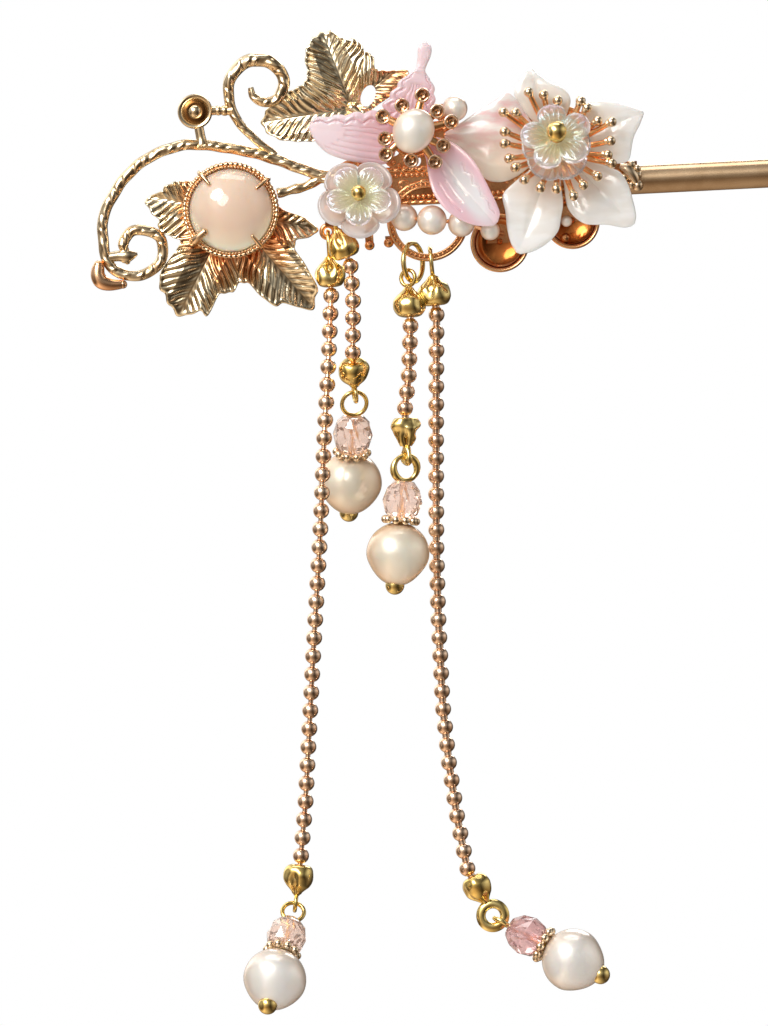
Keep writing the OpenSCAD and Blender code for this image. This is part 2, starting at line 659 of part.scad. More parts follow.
// Shell petals, in the rows of a blade
top_petal_rows = [
  [0, 0.15, 0.17, 0], [0.15, 0.19, 0.3, 0.01], [0.35, 0.28, 0.43, 0.02], [0.55, 0.33, 0.38, 0.02],
  [0.7, 0.36, 0.22, 0.02], [0.8, 0.3, 0.14, 0.01], [0.91, 0.16, 0.07, 0.01], [1, 0.03, 0.03, 0]
];
right_petal_rows = [
  [0, 0.14, 0.17, 0], [0.15, 0.25, 0.3, 0.01], [0.35, 0.38, 0.46, 0.03], [0.5, 0.38, 0.52, 0.05],
  [0.6, 0.33, 0.5, 0.05], [0.75, 0.24, 0.27, 0.03], [0.9, 0.12, 0.13, 0.01], [1, 0.03, 0.03, 0]
];
lower_right_petal_rows = [
  [0, 0.095, 0.13, 0], [0.15, 0.16, 0.235, 0.01], [0.35, 0.25, 0.375, 0.03], [0.5, 0.3, 0.4, 0.05],
  [0.65, 0.27, 0.36, 0.05], [0.8, 0.19, 0.21, 0.03], [0.95, 0.09, 0.1, 0.01], [1, 0.03, 0.04, 0]
];
lower_left_petal_rows = [
  [0, 0.1, 0.11, 0], [0.15, 0.165, 0.2, 0.01], [0.35, 0.26, 0.31, 0.03], [0.5, 0.29, 0.36, 0.05],
  [0.65, 0.31, 0.275, 0.05], [0.8, 0.25, 0.2, 0.03], [0.93, 0.14, 0.11, 0.01], [1, 0.04, 0.03, 0]
];
left_petal_rows = [
  [0, 0.16, 0.14, 0], [0.1, 0.26, 0.225, 0], [0.2, 0.35, 0.33, 0], [0.3, 0.41, 0.45, 0.01],
  [0.4, 0.43, 0.49, 0.01], [0.5, 0.42, 0.4, 0.01], [0.66, 0.31, 0.29, 0.01], [0.85, 0.14, 0.14, 0],
  [1, 0.03, 0.03, 0]
];
shell_depth = on_plate + shell_t / 2 + 0.1;
module shell_petal(turn, share, tilt, rows) {
  color(shell_white) facing(right_disc_at, shell_depth, turn)
    translate([0, shell_root_r, 0]) rotate([tilt, 0, 0]) blade(rows, share * shell_petal_l, shell_t, 0.1);
}
module shell_petal_top() { shell_petal(15.7, 0.82, -2, top_petal_rows); }
module shell_petal_right() { shell_petal(-70.4, 0.94, 5, right_petal_rows); }
module shell_petal_lower_right() { shell_petal(-137.9, 1.14, 10, lower_right_petal_rows); }
module shell_petal_lower_left() { shell_petal(156.9, 1.2, 12, lower_left_petal_rows); }
module shell_petal_left() { shell_petal(80.7, 1.18, 0, left_petal_rows); }

right_bloom_depth = shell_depth + shell_t / 2 + 1.35;
cap_r = 2.7;
cap_t = 0.5;
stamen_rise = 2.3;
module right_bloom(h) {
  facing(right_bloom_at, right_bloom_depth, 0, right_bloom_tilt) translate([0, 0, h]) children();
}
module stamen_cap() {
  color(rose_gold) right_bloom(0) {
    difference() {
      cylinder(r = cap_r, h = cap_t, $fn = 48);
      translate([0, 0, -1]) cylinder(d = wire_d + 2 * gap, h = 3, $fn = 24);
    }
    for (k = [0:stamens - 1]) rotate([0, 0, 360 * k / stamens]) {
      reach = stamen_r + (k % 2 ? 0.5 : -0.4) - cap_r + 0.4;
      rise = stamen_rise + (k % 2 ? -0.4 : 0.4);
      stalk_l = norm([reach, rise - cap_t / 2]);
      translate([cap_r - 0.4, 0, cap_t / 2]) rotate([0, atan2(reach, rise - cap_t / 2), 0]) {
        cylinder(d = stamen_d, h = stalk_l, $fn = 16);
        translate([0, 0, stalk_l]) sphere(d = stamen_ball_d, $fn = 24);
      }
    }
  }
}
module right_frosted_flower() {
  color(crystal_pink) right_bloom(cap_t + gap) rotate([0, 0, 90])
    petal_dish(5, right_frosted_d / 2, 0.12, 1.5, 0, frosted_t);
}
module right_crystal_flower() {
  color(crystal_green) right_bloom(cap_t + frosted_t + 0.9) rotate([0, 0, 100])
    petal_dish(5, right_crystal_d / 2, 0.45, crystal_rise, crystal_puff + 0.1, crystal_t + 0.1);
}
right_ball_h = 5.1;
module right_flower_pin() {
  color(bright_gold) right_bloom(0) {
    translate([0, 0, right_ball_h]) sphere(d = right_ball_d, $fn = 32);
    translate([0, 0, -1.2]) cylinder(d = wire_d, h = right_ball_h + 1.2, $fn = 24);
  }
}

// Pearls wired across the open ring: x, z, depth and diameter
string_table = [
  [-28.5, -3.2, 4.4, 3.3], [-25.2, -3.7, 5.75, 3.6], [-21.7, -4.25, 5.2, 3.3], [-18.3, -5.3, 5.1, 2.4]
];
// Pearls on pins of their own: x, z, depth and diameter
lone_pearls = [[-21.8, 9.5, 4.5, 3.1], [-9.1, -4.6, 3.9, 1.4]];
string_hole_d = wire_d + 6 * gap;
function string_place(row) = [row[0], -row[2], row[1]];
string_centres = [for (row = string_table) string_place(row)];
string_ends = concat(
  [string_centres[0] + [-1.9, 0.8, 0.3]],
  string_centres,
  [string_centres[3] + [1.5, 0.8, -0.4]]
);
function string_way(i) = unit(string_ends[i + 2] - string_ends[i]);
module string_pearls() {
  color(pearl_white) {
    for (i = [0:3])
      aimed(string_centres[i], string_way(i))
        drilled_bead(string_table[i][3], string_hole_d);
    for (row = lone_pearls)
      aimed(string_place(row), [0, 1, 0]) drilled_bead(row[3], wire_d + 2 * gap);
  }
}
straight_share = 0.44;
module string_wire() {
  path = concat(
    [string_ends[0]],
    [
      for (i = [0:3], k = [-1, 1])
        string_centres[i] + k * straight_share * string_table[i][3] * string_way(i)
    ],
    [string_ends[5]]
  );
  color(rose_gold) {
    bar(path, [for (p = path) wire_d / 2], 6);
    for (row = lone_pearls) facing([row[0], row[1]], on_plate)
      cylinder(d = wire_d, h = row[2] - on_plate, $fn = 16);
  }
}

jump_at = [-27.7, -2.4, -8.6];
jump_turn = 60;
module jump_ring() {
  color(bright_gold) translate(jump_at) rotate([0, 0, jump_turn]) wire_ring(jump_r, wire_d + 0.1);
}

// Routes of the four chains, from the first ball to the last
long_left_route = [[-37.7, -2.2, -12.1], [-38.5, -4, -20.8], [-39.4, -5.7, -29.3], [-40, -6, -36],
  [-40.6, -5.7, -42.1], [-42, -5.2, -55], [-43.8, -4.8, -72.6], [-44.8, -4.6, -80]];
short_left_route = [[-35.2, -4.15, -8.7], [-35.1, -4.5, -13.1], [-35.5, -4.9, -20]];
short_mid_route = [[-28.4, -4.2, -16.2], [-28.9, -4.5, -22.1], [-29.7, -4.8, -27]];
long_right_route = [[-25.2, -2.3, -15], [-26, -2.3, -29.8], [-26.6, -2.2, -42.5], [-26.8, -2.2, -51],
  [-26.8, -2.2, -61.8], [-26.4, -2.2, -68.7], [-25.7, -2.2, -75.6], [-24.6, -2.2, -83]];

// A strand holds its route, number of balls, the clear space between two, upper loop, end loop and drop.
// The upper loop: way from the first ball, radius to the middle of its wire and spin.
// The end loop: way from the last ball, radius to the middle of its wire, wire and spin.
// The drop: direction, radius of its pin's loop, slack of that loop from -1 to 1 and spin.
long_left = [long_left_route, 32, 0.33, [[0, 0.1, 1], 1.5, 90],
  [[-0.16, 0, -0.97], 0.9, 0.5, 90], [[-0.26, -0.58, -0.79], 1.3, 0, 0]];
short_left = [short_left_route, 6, 0.23, [[-0.32, 0, 1], 0.9, 90],
  [[0, 0.5, -0.87], 0.9, 0.5, 80], [[-0.1, 0.4, -1], 1.5, -1, 10]];
short_mid = [short_mid_route, 6, 0.13, [[0, 0.1, 1], 0.95, -30],
  [[-0.02, 0, -1], 0.9, 0.5, 70], [[-0.14, 0, -1], 1.5, 0, 20]];
long_right = [long_right_route, 32, 0.3, [[-0.05, 0, 1], 1.6, 90],
  [[0.43, 0, -0.9], 1.4, 0.9, 0], [[0.86, -0.2, -0.51], 1.05, 0.6, 90]];

function route_of(strand) = strand[0];
function balls_of(strand) = strand[1];
function pitch_of(strand) = ball_d + strand[2];
function top_way(strand) = unit(strand[3][0]);
function top_loop_r(strand) = strand[3][1];
function top_spin(strand) = strand[3][2];
function end_way(strand) = unit(strand[4][0]);
function end_loop_r(strand) = strand[4][1];
function end_loop_wire(strand) = strand[4][2];
function end_spin(strand) = strand[4][3];
function drop_way(strand) = unit(strand[5][0]);
function pin_loop_r(strand) = strand[5][1];
function slack(strand) = strand[5][2];
function pin_spin(strand) = strand[5][3];

function route_point(route, s, i = 0) =
  let (leg = route[i + 1] - route[i])
  s <= norm(leg) || i == len(route) - 2 ? route[i] + s * unit(leg) : route_point(route, s - norm(leg), i + 1);
function ball_places(strand) =
  [for (k = [0:balls_of(strand) - 1]) route_point(route_of(strand), k * pitch_of(strand))];
function last_ball(strand) = ball_places(strand)[balls_of(strand) - 1];

module chain(strand) {
  places = ball_places(strand);
  last = len(places) - 1;
  color(rose_gold) for (k = [0:last])
    aimed(places[k], places[min(k + 1, last)] - places[max(k - 1, 0)])
      drilled_bead(ball_d, chain_wire_d + 2 * gap);
}
wire_in_bell = 1.6;
module chain_wire(strand) {
  places = ball_places(strand);
  reach = ball_d / 2 + wire_in_bell;
  path = concat([places[0] + reach * top_way(strand)], places, [last_ball(strand) + reach * end_way(strand)]);
  color(rose_gold) bar(path, [for (p = path) chain_wire_d / 2], 6);
}

// A bead tip hangs below its loop: bell mouth at the origin, loop above along +Z
bell_wall = 0.35;
mouth_r = 0.65;
loop_sink = 0.15;
function loop_height(loop_r, loop_d) = bell_h + loop_r + loop_d / 2 - loop_sink;
module bead_tip(loop_r, loop_d, spin) {
  r = bell_d / 2;
  w = bell_wall;
  rotate_extrude($fn = 48) polygon([
    [mouth_r, 0], [r * 0.72, 0.12], [r * 0.95, 0.6], [r, 1.2],
    [r * 0.88, 1.9], [r * 0.55, 2.6], [r * 0.34, bell_h],
    [0, bell_h], [0, bell_h - w], [r * 0.34 - w / 2, bell_h - w], [r * 0.55 - w, 2.6 - w / 2],
    [r * 0.88 - w, 1.9 - w / 4], [r - w, 1.2], [r * 0.95 - w, 0.6], [mouth_r, w + 0.05]
  ]);
  translate([0, 0, loop_height(loop_r, loop_d)]) rotate([0, 0, spin]) wire_ring(loop_r, loop_d);
}
mouth_gap = 2 * gap;
function tip_mouth(strand) = ball_places(strand)[0] + (ball_d / 2 + mouth_gap) * top_way(strand);
function end_mouth(strand) = last_ball(strand) + (ball_d / 2 + mouth_gap) * end_way(strand);
module top_tip(strand) {
  color(bright_gold) aimed(tip_mouth(strand), -top_way(strand))
    bead_tip(top_loop_r(strand), wire_d, top_spin(strand));
}
module end_tip(strand) {
  color(bright_gold) aimed(end_mouth(strand), -end_way(strand))
    bead_tip(end_loop_r(strand), end_loop_wire(strand), end_spin(strand));
}

// The drop hangs from the end tip's loop: the head pin's loop passes through it
function end_loop_at(strand) =
  end_mouth(strand) + loop_height(end_loop_r(strand), end_loop_wire(strand)) * end_way(strand);
function drop_at(strand) =
  let (play = end_loop_r(strand) - end_loop_wire(strand) / 2 - wire_d / 2 - gap)
  end_loop_at(strand) + slack(strand) * play * end_way(strand) + pin_loop_r(strand) * drop_way(strand);
crystal_mid = wire_d / 2 + gap + drop_crystal_h / 2;
washer_t = 0.3;
washer_gap = gap / 2;
washer_top = crystal_mid + drop_crystal_h / 2 + washer_gap;
pearl_mid = washer_top + washer_t + washer_gap + drop_pearl_d / 2;
pin_end = pearl_mid + drop_pearl_d / 2 + pin_ball_d / 2 + washer_gap;
bead_hole_d = wire_d + 2 * gap;

// Places a child on a drop, at a height below the lowest point of its pin's loop
module on_drop(strand, h) {
  aimed(drop_at(strand), drop_way(strand)) translate([0, 0, -pin_loop_r(strand) - h]) children();
}
module head_pin(strand) {
  r = pin_loop_r(strand);
  color(bright_gold) on_drop(strand, 0) {
    translate([0, 0, r]) rotate([0, 0, pin_spin(strand)]) wire_ring(r, wire_d);
    translate([0, 0, -pin_end]) cylinder(d = wire_d, h = pin_end, $fn = 24);
    translate([0, 0, -pin_end]) sphere(d = pin_ball_d, $fn = 32);
  }
}
crystal_sides = 10;
crystal_rows = [[-0.5, 0.5], [-0.3, 0.86], [0, 1], [0.3, 0.86], [0.5, 0.5]];
module drop_crystal(strand) {
  r = drop_crystal_d / 2;
  hole_r = bead_hole_d / 2;
  color(crystal_pink) on_drop(strand, crystal_mid) loft([
    for (k = [0:crystal_sides - 1]) [
      [hole_r * cos(-36 * k), hole_r * sin(-36 * k), -drop_crystal_h / 2],
      for (i = [0:4]) let (q = -36 * k - 18 * (i % 2), row = crystal_rows[i])
        [r * row[1] * cos(q), r * row[1] * sin(q), row[0] * drop_crystal_h],
      [hole_r * cos(-36 * k), hole_r * sin(-36 * k), drop_crystal_h / 2],
      [hole_r * cos(-36 * k), hole_r * sin(-36 * k), 0]
    ]
  ], true);
}
spacer_balls = 10;
spacer_r = 1.85;
module drop_spacer(strand) {
  ball_r = spacer_ball_d / 2;
  pearl_r = drop_pearl_d / 2;
  sink = pearl_mid - sqrt(pow(pearl_r + ball_r + gap, 2) - spacer_r * spacer_r);
  color(rose_gold) on_drop(strand, 0) {
    translate([0, 0, -washer_top - washer_t]) difference() {
      cylinder(r = spacer_r, h = washer_t, $fn = 48);
      translate([0, 0, -1]) cylinder(d = bead_hole_d, h = washer_t + 2, $fn = 24);
    }
    for (k = [0:spacer_balls - 1]) rotate([0, 0, 360 * k / spacer_balls])
      translate([spacer_r, 0, -sink]) sphere(r = ball_r, $fn = 24);
  }
}
module drop_pearl(strand) {
  color(pearl_white) on_drop(strand, pearl_mid) drilled_bead(drop_pearl_d, bead_hole_d);
}

stick();
back_plate();
scroll_frame();
upper_leaf();
lower_leaf();
stone_setting();
moonstone();
left_wing();
top_wing();
right_wing();
rosette();
rosette_pearl();
left_crystal_flower();
left_frosted_flower();
left_flower_pin();
shell_petal_top();
shell_petal_right();
shell_petal_lower_right();
shell_petal_lower_left();
shell_petal_left();
stamen_cap();
right_crystal_flower();
right_frosted_flower();
right_flower_pin();
string_pearls();
string_wire();
jump_ring();
top_tip(long_left);  // long_left_tip
chain(long_left);  // long_left_chain
chain_wire(long_left);  // long_left_wire
end_tip(long_left);  // long_left_end
head_pin(long_left);  // long_left_pin
drop_crystal(long_left);  // long_left_crystal
drop_spacer(long_left);  // long_left_spacer
drop_pearl(long_left);  // long_left_pearl
top_tip(short_left);  // short_left_tip
chain(short_left);  // short_left_chain
chain_wire(short_left);  // short_left_wire
end_tip(short_left);  // short_left_end
head_pin(short_left);  // short_left_pin
drop_crystal(short_left);  // short_left_crystal
drop_spacer(short_left);  // short_left_spacer
drop_pearl(short_left);  // short_left_pearl
top_tip(short_mid);  // short_mid_tip
chain(short_mid);  // short_mid_chain
chain_wire(short_mid);  // short_mid_wire
end_tip(short_mid);  // short_mid_end
head_pin(short_mid);  // short_mid_pin
drop_crystal(short_mid);  // short_mid_crystal
drop_spacer(short_mid);  // short_mid_spacer
drop_pearl(short_mid);  // short_mid_pearl
top_tip(long_right);  // long_right_tip
chain(long_right);  // long_right_chain
chain_wire(long_right);  // long_right_wire
end_tip(long_right);  // long_right_end
head_pin(long_right);  // long_right_pin
drop_crystal(long_right);  // long_right_crystal
drop_spacer(long_right);  // long_right_spacer
drop_pearl(long_right);  // long_right_pearl
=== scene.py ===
from math import acos, asin, atan2, cos, exp, hypot, pi, radians, sin, sqrt

import bmesh
import bpy
from mathutils import Matrix, Vector, noise


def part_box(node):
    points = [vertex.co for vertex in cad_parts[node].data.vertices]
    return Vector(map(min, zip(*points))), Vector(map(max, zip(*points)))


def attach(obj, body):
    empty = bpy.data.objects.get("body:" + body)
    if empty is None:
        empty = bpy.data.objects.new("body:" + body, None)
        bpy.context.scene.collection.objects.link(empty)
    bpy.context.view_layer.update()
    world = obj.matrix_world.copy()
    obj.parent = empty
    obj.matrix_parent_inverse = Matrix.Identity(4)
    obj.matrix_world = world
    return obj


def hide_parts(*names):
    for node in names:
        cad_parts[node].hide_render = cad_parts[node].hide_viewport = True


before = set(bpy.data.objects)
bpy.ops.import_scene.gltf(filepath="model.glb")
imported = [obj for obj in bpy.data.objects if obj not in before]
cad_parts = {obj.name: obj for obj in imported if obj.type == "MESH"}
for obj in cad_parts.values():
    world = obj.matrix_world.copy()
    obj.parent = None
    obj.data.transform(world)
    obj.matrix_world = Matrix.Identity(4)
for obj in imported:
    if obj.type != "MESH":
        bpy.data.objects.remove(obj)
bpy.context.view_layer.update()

MM = 0.001


# Places and numbers
def place_of(node):
    """Centre and size of a CAD node, in millimetres."""
    low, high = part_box(node)
    return (low + high) / 2 / MM, (high - low) / MM


def shift(to):
    return Matrix.Translation(to)


def spin(degrees, axis):
    return Matrix.Rotation(radians(degrees), 4, axis)


def in_plane(p, depth):
    """The point at an x and z, and at a depth forward from the stick's axis."""
    return Vector((p[0], -depth, p[1]))


def facing(at, depth, turn=0, tilt=0):
    """Turns a shape drawn in XY with +Z to the viewer into the picture plane, at an x, z and depth."""
    return shift(in_plane(at, depth)) @ spin(90 - tilt, "X") @ spin(turn, "Z")


def ring_facing(at, depth):
    """The same for a hoop, which is drawn in the picture plane already."""
    return facing(at, depth) @ spin(-90, "X")


def aimed(at, way):
    """Puts a shape's own -Z along a way, with its X kept near the part's X."""
    v = -Vector(way).normalized()
    turn = atan2(v.y, v.x)
    lean = Matrix.Rotation(acos(max(-1, min(1, v.z))), 4, "Y")
    return shift(at) @ Matrix.Rotation(turn, 4, "Z") @ lean @ Matrix.Rotation(-turn, 4, "Z")


def turns(n):
    """The angles of n even steps round a full turn."""
    return [2 * pi * k / n for k in range(n)]


def polar(r, a):
    return r * cos(a), r * sin(a)


def clamp(x):
    return min(1, max(0, x))


def bump(x, width):
    """1 at x = 0, falling off smoothly over the width."""
    return exp(-((x / width) ** 2))


def link(name, data):
    """A new object with its data, put into the scene."""
    thing = bpy.data.objects.new(name, data)
    bpy.context.scene.collection.objects.link(thing)
    return thing


# Camera: the photograph is 768 by 1026 pixels, and its stick rises to the right
PHOTO_W, PHOTO_H = 768, 1026
MM_PER_PIXEL = 0.12
STICK_RISE = radians(2.86)
ORIGIN_PX = (640, 179.5)
LENS, SENSOR = 700, 36
CLIP_M = (0.1, 20)


def from_photo(px, py):
    """The x and z of a pixel of the photograph, in the plane of the stick."""
    right = (px - ORIGIN_PX[0]) * MM_PER_PIXEL
    up = (ORIGIN_PX[1] - py) * MM_PER_PIXEL
    c, s = polar(1, STICK_RISE)
    return right * c + up * s, up * c - right * s


def make_camera():
    data = bpy.data.cameras.new("camera")
    data.lens, data.sensor_width = LENS, SENSOR
    data.clip_start, data.clip_end = CLIP_M
    camera = link("camera", data)
    c, s = polar(1, STICK_RISE)
    axes = Matrix(((c, 0, -s), (s, 0, c), (0, -1, 0))).transposed().to_4x4()
    distance = PHOTO_H * MM_PER_PIXEL * LENS / SENSOR
    middle = in_plane(from_photo(PHOTO_W / 2, PHOTO_H / 2), distance)
    camera.matrix_world = shift(middle * MM) @ axes
    bpy.context.scene.camera = camera


# Mesh building
class Shape:
    """A mesh under construction, in millimetres."""

    def __init__(self):
        self.verts, self.faces = [], []

    def add(self, part, where=None):
        """Adds a part's vertices and faces, moved to its place."""
        verts, faces = part
        start = len(self.verts)
        self.verts.extend(where @ Vector(v) if where else Vector(v) for v in verts)
        self.faces.extend(tuple(start + i for i in f) for f in faces)
        return self


def loft(loops, closed=False):
    """Closed loops of points joined one to the next, with flat ends unless the row of loops is closed."""
    n, m = len(loops), len(loops[0])
    faces = []
    for i in range(n if closed else n - 1):
        here, after = i * m, (i + 1) % n * m
        for j in range(m):
            k = (j + 1) % m
            faces.append((here + j, here + k, after + k, after + j))
    if not closed:
        faces += [tuple(reversed(range(m))), tuple(range((n - 1) * m, n * m))]
    return [p for loop in loops for p in loop], faces


def spun(profile, sides):
    """A closed profile of radius and height turned round Z."""
    return loft([[(*polar(r, a), z) for r, z in profile] for a in turns(sides)], closed=True)


def revolve(profile, sides=48):
    """An open profile of radius and height turned round Z; a radius of 0 is a pole."""
    verts, rings = [], []
    for r, z in profile:
        start = len(verts)
        if r < 1e-6:
            rings.append([start] * sides)
            verts.append((0, 0, z))
        else:
            rings.append(range(start, start + sides))
            verts.extend((*polar(r, a), z) for a in turns(sides))
    faces = []
    for low, high in zip(rings, rings[1:]):
        for k in range(sides):
            after = (k + 1) % sides
            face = (low[k], low[after], high[after], high[k])
            face = tuple(v for i, v in enumerate(face) if v != face[i - 1])
            if len(face) > 2:
                faces.append(face)
    return verts, faces


def ball(r, sides=20, rings=12):
    halfway = [pi * k / rings for k in range(rings + 1)]
    return revolve([(r * sin(a), -r * cos(a)) for a in halfway], sides)


def plain(s, a):
    """The relief of a smooth wire."""
    return 1


def hoop(big_r, small_r, sides=48, small_sides=12, relief=plain):
    """A wire ring in the XZ plane; relief gives a factor on the wire's radius."""
    loops = []
    for a in turns(sides):
        out = Vector((cos(a), 0, sin(a)))
        loop = []
        for b in turns(small_sides):
            r = small_r * relief(a, b)
            loop.append(out * (big_r + r * cos(b)) + Vector((0, -r * sin(b), 0)))
        loops.append(loop)
    return loft(loops, closed=True)


def curve(points, steps):
    """A smooth curve through points, with the given steps between each two."""
    points = [Vector(p) for p in points]
    out = []
    for i in range(len(points) - 1):
        a, b = points[max(i - 1, 0)], points[i]
        c, d = points[i + 1], points[min(i + 2, len(points) - 1)]
        for k in range(steps):
            t = k / steps
            bend = (2 * a - 5 * b + 4 * c - d) * t * t + (3 * b - a - 3 * c + d) * t ** 3
            out.append(0.5 * (2 * b + (c - a) * t + bend))
    out.append(points[-1])
    return out


def flat_curve(points, depth, steps):
    """A smooth curve through places in the picture plane."""
    return curve([in_plane(p, depth) for p in points], steps)


def eased(values, steps):
    """Numbers eased as the points of a curve are."""
    return [p.x for p in curve([(v, 0, 0) for v in values], steps)]


def tube(path, radius, sides=12, relief=plain, front=(0, -1, 0), flat=1.0):
    """A rod along a path; relief gives a factor for a length and an angle, 90 degrees to the front."""
    front = Vector(front)
    loops, s = [], 0.0
    last = len(path) - 1
    for i, p in enumerate(path):
        way = (path[min(i + 1, last)] - path[max(i - 1, 0)]).normalized()
        side = way.cross(front).normalized()
        face = side.cross(way).normalized()
        r = radius[i] if isinstance(radius, list) else radius
        if i:
            s += (p - path[i - 1]).length
        loop = []
        for a in turns(sides):
            q = r * relief(s, a)
            loop.append(p + q * cos(a) * side + q * flat * sin(a) * face)
        loops.append(loop)
    return loft(loops)


def columns_at(rows, s):
    """Columns of a table at a share, eased smoothly between its rows."""
    i = 0
    while i < len(rows) - 2 and rows[i + 1][0] < s:
        i += 1
    a, b = rows[i], rows[i + 1]
    before = rows[i - 1] if i else a
    after = rows[i + 2] if i + 2 < len(rows) else b
    span = b[0] - a[0]
    t = clamp((s - a[0]) / span)
    t2, t3 = t * t, t * t * t
    out = []
    for k in range(1, len(a)):
        slope_a = (b[k] - before[k]) / (b[0] - before[0]) * span
        slope_b = (after[k] - a[k]) / (after[0] - a[0]) * span
        ends = (2 * t3 - 3 * t2 + 1) * a[k] + (3 * t2 - 2 * t3) * b[k]
        out.append(ends + (t3 - 2 * t2 + t) * slope_a + (t3 - t2) * slope_b)
    return out


def new_mesh(name, shape):
    """A shape as a mesh in metres, with its normals outwards."""
    mesh = bpy.data.meshes.new(name)
    mesh.from_pydata([v * MM for v in shape.verts], [], shape.faces)
    work = bmesh.new()
    work.from_mesh(mesh)
    bmesh.ops.recalc_face_normals(work, faces=work.faces)
    work.to_mesh(mesh)
    work.free()
    return mesh


def make(name, shape, material, nodes=(), crease=60, tint=None):
    """Makes a piece that rides on the root body; tint gives each vertex a number for its material."""
    mesh = new_mesh(name, shape)
    if tint:
        layer = mesh.attributes.new("tint", "FLOAT", "POINT")
        layer.data.foreach_set("value", [tint(v) for v in shape.verts])
    mesh.shade_smooth()
    mesh.set_sharp_from_angle(angle=radians(crease))
    mesh.materials.append(material)
    piece = link(name, mesh)
    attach(piece, "root")
    if nodes:
        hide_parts(*nodes)
    return piece


# Shader nodes
def fill(tree, node, inputs):
    """Sets a node's inputs to values, or links them to other nodes' outputs."""
    for name, value in inputs.items():
        if isinstance(value, bpy.types.NodeSocket):
            tree.links.new(value, node.inputs[name])
        else:
            node.inputs[name].default_value = value


def add_node(tree, kind, inputs, **settings):
    node = tree.nodes.new("ShaderNode" + kind)
    for name, value in settings.items():
        setattr(node, name, value)
    fill(tree, node, inputs)
    return node


def add_noise(tree, scale, detail, stretch=(1, 1, 1)):
    """Noise in object space, with the scale in waves per millimetre."""
    place = add_node(tree, "TexCoord", {}).outputs["Object"]
    mapped = add_node(tree, "Mapping", {"Vector": place, "Scale": stretch}).outputs["Vector"]
    texture = add_node(tree, "TexNoise", {"Vector": mapped, "Scale": scale / MM, "Detail": detail})
    return texture.outputs["Fac"]


def add_ramp(tree, source, stops):
    """A ramp of colours, each with its place."""
    ramp = add_node(tree, "ValToRGB", {"Fac": source})
    elements = ramp.color_ramp.elements
    while len(elements) < len(stops):
        elements.new(0.5)
    for element, (at, colour) in zip(elements, stops):
        element.position = at
        element.color = (*colour, 1)
    return ramp.outputs["Color"]


def add_range(tree, source, low, high, span=(0.3, 0.7)):
    inputs = {"Value": source, "From Min": span[0], "From Max": span[1], "To Min": low, "To Max": high}
    return add_node(tree, "MapRange", inputs).outputs["Result"]


def add_relief(tree, source, height):
    """A bumpy normal, with the height of its bumps in millimetres."""
    inputs = {"Height": source, "Strength": 1, "Distance": height * MM}
    return add_node(tree, "Bump", inputs).outputs["Normal"]


def add_tint(tree):
    return add_node(tree, "Attribute", {}, attribute_name="tint").outputs["Fac"]


def add_product(tree, a, b):
    """Two colours multiplied."""
    settings = {"data_type": "RGBA", "blend_type": "MULTIPLY"}
    return add_node(tree, "Mix", {"Factor": 1, "A": a, "B": b}, **settings).outputs["Result"]


def add_hollow_shade(tree, colour, left):
    """Painted shade: darkens a colour in the hollows of the mesh, to the share that is left."""
    hollow = add_node(tree, "NewGeometry", {}).outputs["Pointiness"]
    return add_product(tree, colour, add_ramp(tree, hollow, [(0.44, left), (0.515, (1, 1, 1))]))


def new_material(name):
    material = bpy.data.materials.new(name)
    material.use_nodes = True
    return material, material.node_tree, material.node_tree.nodes["Principled BSDF"]


# Materials; the painted shade in a metal's hollows is the share of its colour left there
HOLLOW_SHADE = (0.42, 0.30, 0.20)
LEAF_HOLLOW_SHADE = (0.38, 0.27, 0.18)
# From copper at the setting to pale gold on the lobes
LEAF_TONES = [(0.0, (0.86, 0.36, 0.15)), (0.45, (0.92, 0.62, 0.36)), (0.8, (1.0, 0.87, 0.62))]
# From the stone's upper edge to a painted glow of light at its lower edge
STONE_BODY_AND_GLOW = [(0.0, (0.90, 0.70, 0.56)), (0.35, (0.84, 0.64, 0.50)), (0.7, (0.94, 0.81, 0.62)),
               (1.0, (1.0, 0.94, 0.76))]


def gold(name, dark, light, rough, wear=0.06, grain=1.5, height=0.004, grain_fine=3.0, stretch=(1, 1, 1)):
    """Plated metal whose colour, polish and surface vary a little, with painted shade in its hollows."""
    material, tree, shader = new_material(name)
    colour = add_ramp(tree, add_noise(tree, grain / 4, 4), [(0.35, dark), (0.65, light)])
    fill(tree, shader, {
        "Metallic": 1,
        "Base Color": add_hollow_shade(tree, colour, HOLLOW_SHADE),
        "Roughness": add_range(tree, add_noise(tree, grain, 5, stretch), rough, rough + wear),
        "Normal": add_relief(tree, add_noise(tree, grain_fine, 4, stretch), height),
    })
    return material


def leaf_material(name):
    """Cast metal, pale on the leaves and copper where the tint is low, with painted shade in its hollows."""
    material, tree, shader = new_material(name)
    colour = add_ramp(tree, add_tint(tree), LEAF_TONES)
    fill(tree, shader, {
        "Metallic": 1,
        "Base Color": add_hollow_shade(tree, colour, LEAF_HOLLOW_SHADE),
        "Roughness": add_range(tree, add_noise(tree, 1.5, 5), 0.14, 0.22),
        "Normal": add_relief(tree, add_noise(tree, 3.0, 4), 0.006),
    })
    return material


